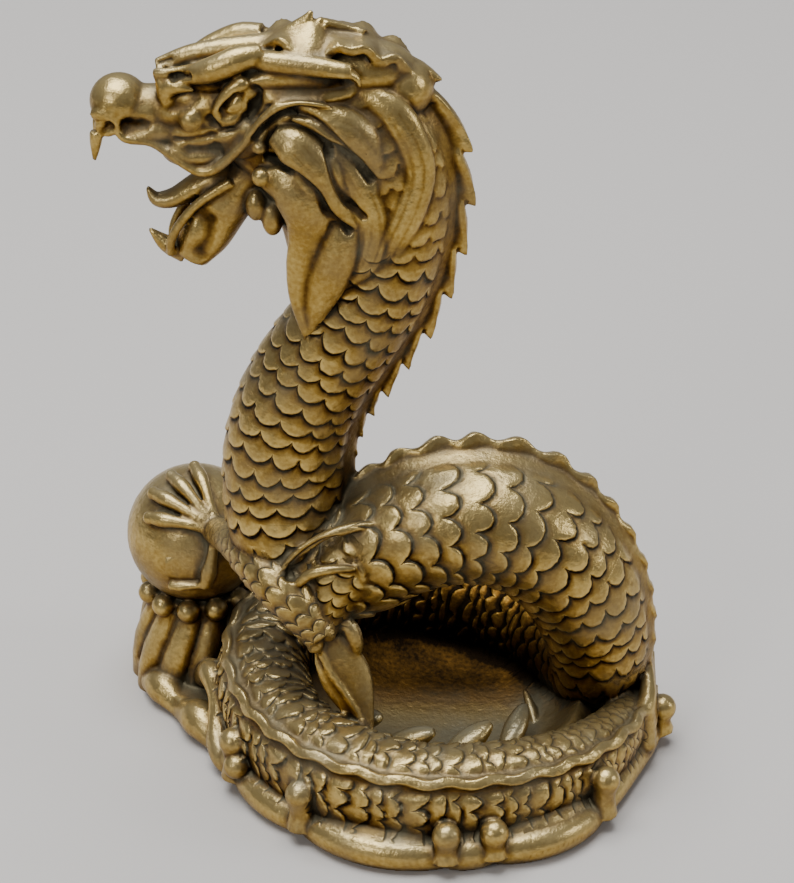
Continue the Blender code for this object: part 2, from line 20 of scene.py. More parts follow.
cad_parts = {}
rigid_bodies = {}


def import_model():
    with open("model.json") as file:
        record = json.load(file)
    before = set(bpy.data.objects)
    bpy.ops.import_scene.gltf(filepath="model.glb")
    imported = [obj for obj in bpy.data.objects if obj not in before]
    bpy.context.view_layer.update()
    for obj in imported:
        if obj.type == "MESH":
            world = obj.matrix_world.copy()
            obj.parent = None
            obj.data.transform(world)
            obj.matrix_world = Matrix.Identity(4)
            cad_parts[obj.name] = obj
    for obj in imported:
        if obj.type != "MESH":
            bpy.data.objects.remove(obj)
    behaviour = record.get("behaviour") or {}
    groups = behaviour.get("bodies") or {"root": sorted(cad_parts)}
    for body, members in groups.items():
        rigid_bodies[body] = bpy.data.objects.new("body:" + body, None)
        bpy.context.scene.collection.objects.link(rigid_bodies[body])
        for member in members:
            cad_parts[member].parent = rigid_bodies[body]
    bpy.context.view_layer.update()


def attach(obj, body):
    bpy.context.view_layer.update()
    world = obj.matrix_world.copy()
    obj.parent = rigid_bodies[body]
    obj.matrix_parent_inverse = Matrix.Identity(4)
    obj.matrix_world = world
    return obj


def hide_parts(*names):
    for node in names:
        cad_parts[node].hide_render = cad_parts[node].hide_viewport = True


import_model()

# %% [markdown]
# ## Sizes
#
# The pose is written in millimetres above the base plate, the way a carver would measure a model with
# dividers. A few helpers turn those numbers into Blender's metres.

# %% Units and measures
MM = 0.001
PLATE_HEIGHT = 1.5 * MM
HEAD_PLANE = -1.0  # y of the plane that the head is symmetric about


def at(x, y, z):
    return Vector((x, y, z)) * MM + Vector((0, 0, PLATE_HEIGHT))


def polar(angle, distance, height):
    turn = math.radians(angle)
    return Vector((distance * math.cos(turn), distance * math.sin(turn), height))


print("the plate's top is at", PLATE_HEIGHT / MM, "mm")

# %% [markdown]
# ## Camera
#
# The camera looks down by 30 degrees from the side. A long lens keeps the perspective as weak as it is in a
# close-up taken from a step back. The lens is given as a focal length in pixels, for a frame that is 883
# pixels high, and turned into millimetres of a 36 mm sensor.

# %% Camera at the viewing angle
VIEW_TARGET = Vector((-2.6, 0, 21.1)) * MM
VIEW_DISTANCE = 165 * MM
VIEW_DOWN = math.radians(30)
FOCAL_PIXELS = 2840

camera = bpy.data.objects.new("camera", bpy.data.cameras.new("camera"))
bpy.context.scene.collection.objects.link(camera)
bpy.context.scene.camera = camera
camera.data.sensor_width = 36
camera.data.lens = FOCAL_PIXELS * 36 / 883
camera.data.clip_start = 0.005
view_way = Vector((0, -math.cos(VIEW_DOWN), math.sin(VIEW_DOWN)))
camera.location = VIEW_TARGET + view_way * VIEW_DISTANCE
camera.rotation_euler = (-view_way).to_track_quat("-Z", "Y").to_euler()
print("camera at", [round(v * 1000) for v in camera.location], "mm")

# %% [markdown]
# ## Tools for the forms
#
# Nearly everything on the figure is a tube that tapers along a curve: the body, the horns, each lock of the
# mane, the claws. So one tool makes them all. It takes a flat grid, rolls it up round a smooth curve, welds
# the seam and closes the ends. A grid keeps one direction of the mesh along the curve, which the scales need.

# %% A smooth curve through a few points


def smooth_path(rows, steps):
    """Catmull-Rom: the curve passes every row, and each number in a row is smoothed in the same way."""
    rows = np.array(rows, float)
    rows = np.vstack([2 * rows[0] - rows[1], rows, 2 * rows[-1] - rows[-2]])
    t = (np.arange(steps) / steps)[:, None]
    path = []
    for a, b, c, d in zip(rows, rows[1:], rows[2:], rows[3:]):
        bend = (2 * a - 5 * b + 4 * c - d) * t**2 + (3 * b - a - 3 * c + d) * t**3
        path.append(b + 0.5 * ((c - a) * t + bend))
    return np.vstack([*path, rows[-2:-1]])


def unit(vectors):
    return vectors / np.linalg.norm(vectors, axis=-1, keepdims=True)


print("a test curve has", len(smooth_path([(0, 0), (1, 1), (2, 0)], 4)), "points")

# %% A grid rolled up into a tube
shapes = []  # every form waits here until the casting is poured


def finish_shape(name, build):
    bmesh.ops.recalc_face_normals(build, faces=build.faces)
    mesh = bpy.data.meshes.new(name)
    build.to_mesh(mesh)
    build.free()
    shape = bpy.data.objects.new(name, mesh)
    bpy.context.scene.collection.objects.link(shape)
    shapes.append(shape)
    return shape


def roll_up(name, centres, radii, facing, sides, flat=1.0, relief=None):
    """centres and radii are in metres. facing is the side of the tube that an angle of 90 degrees looks to,
    and flat squeezes the tube along it. relief(i, angle) adds to the radius."""
    centres, radii = np.array(centres, float), np.array(radii, float)
    last = len(centres) - 1
    along = unit(np.gradient(centres, axis=0))
    facing = np.broadcast_to(np.array(facing, float), centres.shape)
    normal = unit(facing - along * (facing * along).sum(1, keepdims=True))
    across = np.cross(along, normal)
    build = bmesh.new()
    bmesh.ops.create_grid(build, x_segments=last, y_segments=sides, size=0.5)
    spots = np.array([vert.co[:2] for vert in build.verts])
    i = np.rint((spots[:, 0] + 0.5) * last).astype(int)
    angle = 2 * math.pi * (spots[:, 1] + 0.5)
    radius = radii[i] + (0 if relief is None else relief(i, np.degrees(angle) % 360))
    way = across[i] * np.cos(angle)[:, None] + normal[i] * (np.sin(angle) * flat)[:, None]
    for vert, place in zip(build.verts, centres[i] + way * radius[:, None]):
        vert.co = place
    bmesh.ops.remove_doubles(build, verts=build.verts, dist=1e-7)
    bmesh.ops.holes_fill(build, edges=build.edges, sides=0)
    return finish_shape(name, build)


def curl(name, rows, facing=(0, -1, 0), sides=18, flat=1.0, steps=8, relief=None):
    """A tapering form through rows of x, y, z and radius, in millimetres above the plate."""
    path = smooth_path(rows, steps)
    centres = path[:, :3] * MM + [0, 0, PLATE_HEIGHT]
    return roll_up(name, centres, np.maximum(path[:, 3], 0.05) * MM, facing, sides, flat, relief)


print("tube tools ready")

# %% Round forms


def ball(name, centre, radius):
    build = bmesh.new()
    bmesh.ops.create_uvsphere(build, u_segments=32, v_segments=20, radius=radius)
    bmesh.ops.translate(build, vec=centre, verts=build.verts)
    return finish_shape(name, build)


def egg(name, x, y, z, radii):
    build = bmesh.new()
    bmesh.ops.create_uvsphere(build, u_segments=32, v_segments=20, radius=1.0)
    bmesh.ops.scale(build, vec=[r * MM for r in radii], verts=build.verts)
    bmesh.ops.translate(build, vec=at(x, y, z), verts=build.verts)
    return finish_shape(name, build)


print("round forms ready")

# %% [markdown]
# ## The body
#
# The dragon's body is one long tube: down the neck, round a tight bend, over an arch and once round the base.
# The numbers follow its middle line, with the radius and the height of the crest beside each point. The side
# that the crest stands on has to be known all along, because the scales fade out beside it.

# %% The middle line of the body
SPINE = [  # x, y, z, radius, height of the crest
    (-10.2, -1.0, 40.9, 1.8, 1.4),
    (-8.6, -1.0, 41.0, 2.0, 2.4),
    (-7.1, -1.0, 41.0, 2.2, 3.3),
    (-6.3, -0.9, 41.0, 2.3, 2.5),
    (-4.9, -0.9, 40.6, 2.5, 2.2),
    (-3.4, -0.9, 39.1, 2.7, 1.8),
    (-2.7, -0.8, 36.3, 2.75, 1.6),
    (-3.0, -0.7, 33.2, 2.8, 1.5),
    (-4.1, -0.5, 30.0, 2.9, 1.5),
    (-5.9, -0.3, 26.9, 3.0, 1.5),
    (-7.7, 0.0, 23.9, 3.1, 1.3),
    (-8.9, 0.2, 20.8, 3.2, 1.1),
    (-9.3, 0.3, 17.5, 3.3, 0.8),
    (-9.0, 0.0, 14.1, 3.3, 0.5),
    (-7.3, -0.7, 11.9, 3.3, 0.4),
    (-4.9, -1.2, 12.4, 3.3, 0.9),
    (-2.5, -1.4, 13.9, 3.3, 1.4),
    (0.2, -1.3, 14.8, 3.4, 1.8),
    (3.2, -1.0, 14.6, 3.45, 1.9),
    (5.8, -0.7, 13.1, 3.4, 1.7),
    (8.0, -0.3, 10.4, 3.25, 1.2),
    (9.2, 0.2, 6.9, 2.95, 1.0),
    (9.5, 0.9, 3.4, 2.6, 0.8),
]
COIL = [  # angle from +X, distance from the centre, radius, height of its middle
    (22, 8.9, 2.4, 2.43),
    (50, 9.0, 2.4, 2.23),
    (80, 9.3, 2.4, 2.43),
    (110, 10.2, 2.4, 2.93),
    (140, 11.0, 2.45, 3.28),
    (170, 10.9, 2.5, 2.92),
    (200, 10.4, 2.5, 2.43),
    (230, 10.2, 2.5, 2.33),
    (260, 10.2, 2.4, 2.23),
    (290, 10.2, 2.25, 2.09),
    (318, 10.5, 1.9, 1.77),
    (345, 11.2, 1.4, 1.4),
    (368, 12.0, 0.8, 1.14),
]
ARCH_FROM = 14  # the spine point from which the crest leans back


def body_rows():
    rows = []
    for i, (x, y, z, radius, crest) in enumerate(SPINE):
        before, after = SPINE[max(i - 1, 0)], SPINE[min(i + 1, len(SPINE) - 1)]
        along = Vector([b - a for a, b in zip(before[:3], after[:3])])
        up = Vector((0, -1, 0.4 if i >= ARCH_FROM else 0)).cross(along).normalized()
        rows.append((x, y, z, radius, crest, *up))
    for angle, distance, radius, rise in COIL:
        rows.append((*polar(angle, distance, rise), radius, 0.75, *polar(angle, 1, 0.9).normalized()))
    return rows


BODY_STEPS = 30
body_path = smooth_path(body_rows(), BODY_STEPS)
body_centres = body_path[:, :3] * MM + [0, 0, PLATE_HEIGHT]
body_step = np.linalg.norm(np.diff(body_centres, axis=0), axis=1)
print("the body is", round(body_step.sum() / MM), "mm long, in", len(body_path), "rings")

# %% [markdown]
# ## Scales
#
# Each scale is a rounded plate that slopes up to its free edge, which points to the tail, and then drops to
# the plate below. Neighbouring rows are shifted by half a scale. Laying hundreds of small plates would work
# too, but a formula for the tube's radius is lighter: the row that a point belongs to is the first one whose
# rounded edge still reaches past it. The number of scales round the body stays the same, so they get smaller
# where it gets thinner, as they do on the casting.

# %% A formula for overlapping scales
SCALES_ROUND = 12
SCALE_PITCH = 0.38  # distance between rows, as a share of the body's radius
SCALE_TIP = 0.66  # how far the rounded edge reaches, in rows
SCALE_RELIEF = 0.1  # height of a scale, as a share of the body's radius


def scale_height(rows, turns):
    """Height from 0 to 1 at a place given in rows along the body and in scales round it."""
    row = np.floor(rows)

    def reach(k):
        offset = (turns + 0.5 * (k % 2)) % 1 - 0.5
        return k + SCALE_TIP * np.sqrt(np.clip(1 - (2 * offset) ** 2, 0, 1)), offset

    first, first_offset = reach(row)
    second, second_offset = reach(row + 1)
    covered = first >= rows
    edge = np.where(covered, first, second)
    offset = np.where(covered, first_offset, second_offset)
    slope = np.clip(1 - (edge - rows) / 1.9, 0, 1)
    line = np.where(covered, 0, 0.55 * np.exp(-(((rows - first) / 0.09) ** 2)))
    return slope * (1 - 0.3 * (2 * offset) ** 2) - line


def smooth_step(low, high, value):
    t = np.clip((value - low) / (high - low), 0, 1)
    return t * t * (3 - 2 * t)


body_rows_passed = np.concatenate([[0], np.cumsum(body_step / (SCALE_PITCH * body_path[1:, 3] * MM))])
print("rows of scales:", round(body_rows_passed[-1]))

# %% [markdown]
# The scales are not all alike. They were cut into the wax by hand, so each row wanders a little, more so on
# the coil, where they nearly swirl and stand higher. Beside the crest a smooth band is left, widest where
# the arch begins. Below its widest line the coil doesn't curve back in: its wall comes straight down to the
# base, with flatter scales.

# %% The scaled body
body_point = np.arange(len(body_path)) / BODY_STEPS
bare_band = np.interp(body_point, [0, 12, 14, 16, 20, 23, 36], [20, 20, 24, 22, 20, 16, 16])
on_coil = smooth_step(len(SPINE) - 0.5, len(SPINE) + 1.5, body_point)
WALL_ANGLE = -12  # the side of the coil that its wall is on, in degrees round the body


def turned_from(side, angle):
    """How far an angle is from a side, from -180 to 180 degrees."""
    return (angle - side + 180) % 360 - 180


def above_wall(angle):
    """0 on the wall of the coil, and 1 over it."""
    return smooth_step(30, 60, np.abs(turned_from(WALL_ANGLE, angle)))


def scale_place(i, angle, rows):
    """Where the scales lie, in rows and in scales round, after their wandering."""
    loose = 0.10 + 0.14 * on_coil[i] * above_wall(angle)
    wander = loose * np.sin(np.radians(angle) * 3 + rows * 0.9)
    sway = loose * np.sin(rows * 1.7 + np.radians(angle) * 2)
    return rows + sway, angle / 360 * SCALES_ROUND + wander


def scaled_share(i, angle):
    """1 where there are scales, and 0 in the smooth band beside the crest."""
    beside_crest = np.abs(turned_from(90, angle))
    return smooth_step(bare_band[i] - 7, bare_band[i] + 7, beside_crest)


def plain_radius(i, angle):
    """The body's radius without scales, as a share: it has a root for the crest, and a wall on the coil."""
    from_crest = turned_from(90, angle)
    from_wall = turned_from(WALL_ANGLE, angle)
    root = 0.17 * np.exp(-((from_crest / 12) ** 2)) * on_coil[i]
    root = root + 0.3 * np.exp(-((np.abs(from_crest) / 17) ** 1.5)) * (1 - on_coil[i])
    return 1 + root + 0.33 * np.exp(-((from_wall / 35) ** 2)) * on_coil[i]


def body_relief(i, angle):
    height = scale_height(*scale_place(i, angle, body_rows_passed[i])) * scaled_share(i, angle)
    height = height * SCALE_RELIEF * (1 + on_coil[i] * (1.2 * above_wall(angle) - 0.5))
    return (plain_radius(i, angle) - 1 + height) * body_path[i, 3] * MM


body = roll_up(
    "body", body_centres, body_path[:, 3] * MM, body_path[:, 5:8], 168, relief=body_relief
)
print("points on the body:", len(body.data.vertices))

# %% [markdown]
# ## The crest
#
# A thin fin runs along the back. Behind the head its edge has small notches, down the neck they grow into
# hooks that point down, on the arch they are close waves, and on the coil it is a low wavy ridge. A grid
# stands on the body's back, its upper edge rises and falls with the teeth, and Solidify gives it a wall.
# The fin also sways to both sides, as a wax fin does when it is pressed on by hand.

# %% The serrated fin
CREST_STEPS = 24
crest_path = smooth_path(body_rows(), CREST_STEPS)
crest_centres = crest_path[:, :3] * MM + [0, 0, PLATE_HEIGHT]
crest_step = np.linalg.norm(np.diff(crest_centres, axis=0), axis=1)
crest_point = np.arange(len(crest_path)) / CREST_STEPS
crest_pitch = np.where(crest_point < ARCH_FROM, 2.2, np.where(crest_point < len(SPINE), 1.5, 2.2)) * MM
crest_teeth = np.concatenate([[0], np.cumsum(crest_step / crest_pitch[1:])])


def stand_fin(name, levels=6, thickness=0.6):
    last = len(crest_path) - 1
    along = unit(np.gradient(crest_centres, axis=0))
    up = crest_path[:, 5:8]
    up = unit(up - along * (up * along).sum(1, keepdims=True))
    side = np.cross(along, up)
    build = bmesh.new()
    bmesh.ops.create_grid(build, x_segments=last, y_segments=levels, size=0.5)
    spots = np.array([vert.co[:2] for vert in build.verts])
    i = np.rint((spots[:, 0] + 0.5) * last).astype(int)
    level = spots[:, 1] + 0.5
    tooth = crest_teeth[i] % 1
    hooked = crest_point[i] < ARCH_FROM
    size = np.interp(crest_point[i], [0, 5, 8], [0.6, 0.9, 1.2])
    profile = np.where(hooked, 1 - (1 - tooth) ** 1.5, 0.5 - 0.5 * np.cos(2 * math.pi * tooth))
    top = np.where(hooked, 0.82 + 0.46 * size * (profile - 0.5), 0.88 + 0.24 * (profile - 0.5))
    full = crest_path[i, 4] * top
    height = -0.8 + level * (full + 0.8)
    lean = level**3 * profile * np.where(hooked, 0.5 * size, 0.0) * crest_path[i, 4]
    sway = 0.15 * level**2 * np.sin(2 * math.pi * crest_teeth[i])
    out = up[i] * (crest_path[i, 3] + height)[:, None]
    place = crest_centres[i] + (out + along[i] * lean[:, None] + side[i] * sway[:, None]) * MM
    for vert, spot in zip(build.verts, place):
        vert.co = spot
    fin = finish_shape(name, build)
    wall = fin.modifiers.new("wall", "SOLIDIFY")
    wall.thickness = thickness * MM
    wall.offset = 0
    return fin


stand_fin("crest")
print("teeth on the crest:", round(crest_teeth[-1]))

# %% [markdown]
# On the head the fin carries a sheet that folds down to both sides like a roof, with a wavy edge and a peak
# over the brow. It is one grid, four points along for each row of the table and bent from its near edge over
# the ridge to its far edge. Solidify makes it a wall again, so a dark gap stays below the edge.

# %% The sheet on the head
FRILL = [  # x, half the width, height of the edges, height of the ridge
    (-10.6, 0.45, 44.8, 44.8), (-9.7, 0.9, 45.1, 45.1), (-8.8, 1.45, 45.5, 45.5), (-8.1, 1.75, 45.2, 45.8),
    (-7.5, 1.75, 44.9, 46.0), (-7.0, 1.7, 44.8, 46.1), (-6.4, 1.7, 44.9, 45.6), (-5.7, 1.8, 45.2, 45.4),
    (-5.0, 1.85, 45.3, 45.3), (-4.3, 1.8, 45.2, 45.2), (-3.6, 1.6, 44.6, 44.8), (-2.7, 1.45, 44.6, 44.3),
    (-2.0, 1.15, 43.9, 43.6), (-1.3, 0.8, 43.0, 42.8), (-0.8, 0.4, 41.7, 41.8),
]
curl("crest_peak", [
    (-9.4, HEAD_PLANE, 44.6, 0.35), (-8.2, HEAD_PLANE, 45.4, 0.45), (-7.5, HEAD_PLANE, 46.0, 0.32),
    (-7.1, HEAD_PLANE, 46.55, 0.14),
])
frill_path = smooth_path(FRILL, 4)
frill_last, frill_across = len(frill_path) - 1, 12
build = bmesh.new()
bmesh.ops.create_grid(build, x_segments=frill_last, y_segments=frill_across, size=0.5)
for vert in build.verts:
    x, half, edge_z, ridge_z = frill_path[round((vert.co.x + 0.5) * frill_last)]
    out = 2 * vert.co.y
    fold = abs(out) ** 1.6
    wave = 0.12 * math.sin(x * 4.1) * fold
    vert.co = at(x, HEAD_PLANE + out * half, ridge_z + (edge_z - ridge_z) * fold - 0.25 + wave)
sheet = finish_shape("frill", build)
wall = sheet.modifiers.new("wall", "SOLIDIFY")
wall.thickness = 0.5 * MM
wall.offset = 0
print("forms so far:", len(shapes))

# %% [markdown]
# ## The head
#
# The head is built as it would be in wax: a skull and a snout in the middle, then the same curls and lumps on
# each side of the plane. Every form on a side is written as x, distance from the plane, z and radius, so one
# function makes both sides.

# %% Skull, snout and jaw
plane = HEAD_PLANE
egg("skull", -8.4, plane, 41.7, (3.2, 2.35, 2.4))
egg("forehead", -11.6, plane, 43.0, (3.3, 1.7, 1.2))
egg("nose", -17.6, plane, 41.45, (1.6, 1.6, 1.5))
curl("snout", [
    (-10.5, plane, 41.4, 2.2), (-13.5, plane, 41.1, 1.8), (-15.6, plane, 41.0, 1.35),
    (-17.6, plane, 41.1, 1.4),
], sides=30)
egg("mane_bed_top", -6.7, plane, 38.8, (3.2, 2.75, 3.5))
egg("mane_bed_middle", -5.9, plane, 35.0, (2.5, 2.6, 4.0))
egg("mane_bed_low", -6.8, plane, 32.2, (1.7, 3.05, 3.6))
egg("crest_bed", -4.4, plane, 43.3, (2.9, 1.8, 1.6))
egg("nape_bed", -2.3, plane, 42.2, (1.7, 1.7, 1.7))
curl("top_ridge", [
    (-15.5, plane, 43.5, 0.35), (-13.9, plane, 44.0, 0.55), (-12.3, plane, 44.3, 0.65),
    (-10.5, plane, 44.5, 0.7), (-8.0, plane, 44.7, 0.8),
])
curl("throat", [
    (-10.2, plane, 39.6, 2.0), (-8.6, plane, 37.6, 2.1), (-7.2, plane, 35.3, 2.1), (-6.7, plane, 32.3, 1.9),
    (-7.0, plane, 29.5, 1.3),
], sides=30)
curl("jaw", [
    (-9.6, plane, 38.2, 1.3), (-10.8, plane, 36.9, 1.3), (-12.1, plane, 35.3, 1.45),
    (-13.2, plane, 33.6, 1.45), (-14.0, plane, 32.2, 1.0),
], sides=30, flat=1.1)
curl("tongue", [
    (-11.6, plane, 37.2, 0.8), (-13.4, plane, 36.5, 0.7), (-14.8, plane, 35.7, 0.55),
    (-15.8, plane, 35.6, 0.4), (-16.3, plane, 36.3, 0.12),
], flat=1.3)
curl("chin_tuft", [
    (-14.3, plane, 32.4, 0.7), (-15.4, plane, 32.9, 0.5), (-16.3, plane, 33.8, 0.1),
])
print("forms so far:", len(shapes))

# %% One side of the head
EYE = [(-11.35, 1.95, 42.2), (0.78, 0.0, 1.0), (-0.40, 0.1, 0.3)]  # middle, and its two half widths


def side_of_head(side):
    hand = "near" if side < 0 else "far"

    def form(what, points, flat=1.0):
        rows = [(x, HEAD_PLANE + side * out, z, radius) for x, out, z, radius in points]
        return curl(f"{what}_{hand}", rows, (0, side, 0), flat=flat)

    def lump(what, x, out, z, radii):
        return egg(f"{what}_{hand}", x, HEAD_PLANE + side * out, z, radii)

    form("lip", [
        (-18.1, 1.0, 41.2, 0.25), (-17.7, 1.25, 40.5, 0.27), (-17.2, 1.35, 39.8, 0.27),
        (-15.9, 1.4, 39.6, 0.25), (-15.0, 1.6, 39.1, 0.25), (-14.1, 1.8, 38.5, 0.26),
        (-13.2, 1.95, 38.1, 0.28), (-12.3, 2.1, 38.4, 0.28), (-11.1, 2.3, 39.6, 0.27),
        (-9.9, 2.5, 41.2, 0.27), (-9.0, 2.6, 42.1, 0.27), (-8.0, 2.7, 42.55, 0.26),
        (-7.1, 2.75, 42.5, 0.22), (-6.1, 2.8, 42.2, 0.07),
    ])
    form("nostril_wing", [(-18.9, 0.85, 41.0, 0.35), (-18.4, 1.15, 41.2, 0.38), (-17.8, 1.25, 40.9, 0.36),
                          (-17.5, 1.3, 40.3, 0.3)])
    lump("nostril", -18.2, 0.95, 40.4, (0.7, 0.6, 0.65))
    lump("snout_side", -16.2, 0.75, 40.9, (1.5, 0.7, 1.0))
    lump("upper_lip", -15.7, 0.85, 40.1, (2.2, 0.75, 0.85))
    form("fang", [(-18.8, 0.9, 40.0, 0.4), (-18.9, 0.9, 39.2, 0.3), (-19.0, 0.9, 38.3, 0.1)])
    form("brow", [(-14.0, 1.3, 43.3, 0.3), (-13.2, 1.5, 43.6, 0.6), (-12.2, 1.75, 44.0, 0.72),
                  (-11.0, 1.7, 44.5, 0.72), (-9.8, 1.4, 44.7, 0.6)])
    form("brow_plate", [(-15.6, 0.7, 43.3, 0.28), (-14.6, 0.9, 43.4, 0.3), (-13.2, 1.1, 43.7, 0.35)])
    form("brow_leaf", [(-15.1, 0.95, 42.1, 0.45), (-14.6, 1.25, 42.7, 0.45), (-14.0, 1.5, 42.8, 0.3),
                       (-13.4, 1.6, 42.65, 0.08)], flat=0.8)
    form("snout_bridge", [(-15.2, 0.8, 43.0, 0.35), (-15.0, 0.95, 42.2, 0.45), (-14.6, 1.0, 41.4, 0.45)])
    form("horn", [(-10.3, 1.4, 44.4, 0.5), (-9.0, 1.75, 44.35, 0.6), (-7.0, 2.1, 44.25, 0.58),
                  (-5.0, 2.4, 44.0, 0.5)])
    form("horn_tip", [(-5.3, 2.3, 44.0, 0.42), (-4.8, 2.5, 43.7, 0.3), (-4.6, 2.55, 43.2, 0.15)])
    rim = []
    for k in range(13):
        turn = 2 * math.pi * k / 12
        thick = 0.27 + 0.14 * max(math.sin(turn + 0.9), 0)  # the upper lid is the thicker one
        rim.append(tuple(c + u * math.cos(turn) + v * math.sin(turn) for c, u, v in zip(*EYE)) + (thick,))
    form("eye_rim", rim)
    lump("eyeball", -11.35, 1.85, 42.2, (0.62, 0.42, 0.75))
    lump("temple", -7.8, 1.55, 42.9, (3.2, 1.15, 1.15))
    lump("cheek", -13.0, 1.15, 39.9, (2.0, 0.9, 1.3))
    lump("mouth_corner", -13.3, 1.3, 39.0, (2.0, 0.75, 0.95))
    lump("lip_bed", -11.0, 1.7, 40.3, (1.6, 0.75, 1.5))
    lump("cheek_ball", -13.6, 1.6, 41.0, (0.68, 0.62, 0.68))
    lump("ear_ball", -9.9, 2.4, 38.0, (0.55, 0.5, 0.55))
    lump("small_ball", -9.95, 2.2, 39.6, (0.4, 0.35, 0.35))
    lump("beard_1", -10.3, 1.5, 35.9, (0.55, 0.6, 0.9))
    lump("beard_2", -9.4, 1.5, 35.1, (0.6, 0.6, 1.0))
    form("jaw_rim", [(-11.6, 1.2, 37.2, 0.28), (-13.3, 1.2, 36.0, 0.26), (-14.3, 1.15, 34.9, 0.26),
                     (-15.0, 0.95, 33.6, 0.26), (-15.1, 0.6, 32.5, 0.26)])


for side in (-1, 1):
    side_of_head(side)
print("forms so far:", len(shapes))

# %% [markdown]
# ## The mane
#
# The mane is a few wide locks on each side that fall over one another like a wave. A lock starts as a round
# knob behind the cheek, gets flat and wide, and ends in a point. Its flat side looks outward and a little
# up, like the slope of a roof: so its upper edge sinks into the hair, and its lower edge stands free over a
# shadow.

# %% Locks of hair
LOCKS = {  # the rise of the flat side, then x, distance from the plane, z and radius
    "mane_top": (0.5, [(-8.2, 2.4, 41.7, 0.4), (-6.6, 2.55, 41.5, 0.85), (-5.1, 2.65, 40.8, 1.1),
                       (-4.0, 2.6, 39.4, 0.85), (-3.1, 2.4, 37.5, 0.1)]),
    "mane_back": (0.2, [(-4.6, 1.5, 42.5, 0.6), (-2.9, 1.9, 41.5, 1.0), (-2.0, 2.05, 39.9, 1.1),
                        (-1.6, 2.05, 38.1, 1.1), (-2.1, 2.2, 36.2, 1.15), (-2.8, 2.25, 34.6, 1.1),
                        (-3.4, 2.1, 33.0, 0.85), (-4.7, 2.1, 31.0, 0.12)]),
    "mane_cheek": (0.45, [(-9.1, 2.2, 40.5, 0.7), (-8.0, 2.75, 39.9, 1.15), (-6.9, 2.95, 38.6, 1.2),
                          (-6.1, 2.9, 37.0, 0.95), (-5.5, 2.8, 35.9, 0.65), (-4.3, 2.6, 35.0, 0.1)]),
    "mane_front": (0.1, [(-9.6, 2.2, 37.9, 0.7), (-8.4, 2.7, 37.5, 1.2), (-7.5, 2.75, 36.2, 1.35),
                         (-7.5, 2.5, 34.4, 1.05), (-7.8, 2.4, 32.6, 0.9), (-7.9, 2.3, 30.6, 0.65),
                         (-7.7, 2.3, 28.0, 0.1)]),
    "mane_middle": (0.3, [(-6.4, 2.1, 40.2, 0.6), (-5.1, 2.35, 38.4, 1.05), (-4.2, 2.4, 36.4, 1.1),
                          (-3.9, 2.4, 34.6, 1.0), (-4.4, 2.4, 32.8, 0.8), (-5.6, 2.3, 31.2, 0.12)]),
    "mane_low": (0.1, [(-5.4, 2.3, 36.0, 0.7), (-5.8, 2.4, 34.0, 1.3), (-6.5, 2.35, 32.0, 1.3),
                       (-7.0, 2.3, 30.3, 0.9), (-7.5, 2.25, 28.3, 0.1)]),
}
for name, (rise, rows) in LOCKS.items():
    for side in (-1, 1):
        hand = "near" if side < 0 else "far"
        place = [(x, HEAD_PLANE + side * out, z, radius) for x, out, z, radius in rows]
        curl(f"{name}_{hand}", place, (0, side, rise), flat=0.6)
print("forms so far:", len(shapes))


# %% [markdown]
# ## Pearl and stand
#
# The pearl rests in a ring of beads on a small fluted stand. Its seat is as wide as the pearl is at the
# height of the stand's top, so the beads lie just outside it. The flutes are broad and shallow and lean to
# one side, like the folds of a skirt.

# %% Pearl, beads and flutes
PEARL_RADIUS = 4.3 * MM
PEARL_SEAT = 0.6 * MM
BEAD_RADIUS = 0.72 * MM
STAND_MARGIN = 0.5 * MM
pearl_centre = at(-15.1, 7.5, 8.8)
stand_place = Vector((pearl_centre.x, pearl_centre.y, 0))
stand_top = pearl_centre.z - PEARL_RADIUS + PEARL_SEAT
seat = math.sqrt(PEARL_RADIUS**2 - (PEARL_RADIUS - PEARL_SEAT) ** 2) + BEAD_RADIUS
foot = seat + BEAD_RADIUS + STAND_MARGIN

build = bmesh.new()
bmesh.ops.create_cone(build, cap_ends=True, segments=64, radius1=foot, radius2=seat, depth=stand_top)
bmesh.ops.translate(build, vec=stand_place + Vector((0, 0, stand_top / 2)), verts=build.verts)
finish_shape("stand", build)
ball("pearl", pearl_centre, PEARL_RADIUS)
for k in range(11):
    sunk = BEAD_RADIUS * 0.3
    ball(f"bead_{k + 1}", stand_place + polar(360 * k / 11, seat + sunk, stand_top - sunk), BEAD_RADIUS)
for k in range(12):
    angle = 30 * k
    rows, widths = [], []
    for share in (0, 0.25, 0.5, 0.75, 1):
        widths.append((1.25 - 0.35 * share) * MM)
        bulge = (0.3 + 0.35 * math.sin(math.pi * share)) * MM
        distance = foot + (seat - foot) * share + bulge - widths[-1]
        rows.append(stand_place + polar(angle + 26 * share**1.5, distance, (stand_top - BEAD_RADIUS) * share))
    roll_up(f"flute_{k + 1}", rows, widths, polar(angle, 1, 0), 32)
print("the stand's top is", round(stand_top / MM, 1), "mm up")
print("its seat is", round(seat / MM, 1), "mm in radius")

# %% [markdown]
# ## The foreleg
#
# One foreleg shows: the shoulder, an elbow with two small knobs and a leaf-shaped tuft, a scaled forearm and
# a hand of five claws spread over the pearl. The fingers are placed by angles on the pearl, so they lie on
# its surface whatever its size. A looped fold of skin, like a flame, lies over the shoulder.

# %% Fingers on the pearl
PALM = (-68, 31)  # azimuth and elevation of the palm on the pearl, in degrees
FINGERS = [(-136, 35), (-152, 52), (-161, 71), (92, 87)]
THUMB = (-80, -14)


def over_pearl(direction):
    turn, rise = math.radians(direction[0]), math.radians(direction[1])
    return Vector((math.cos(rise) * math.cos(turn), math.cos(rise) * math.sin(turn), math.sin(rise)))


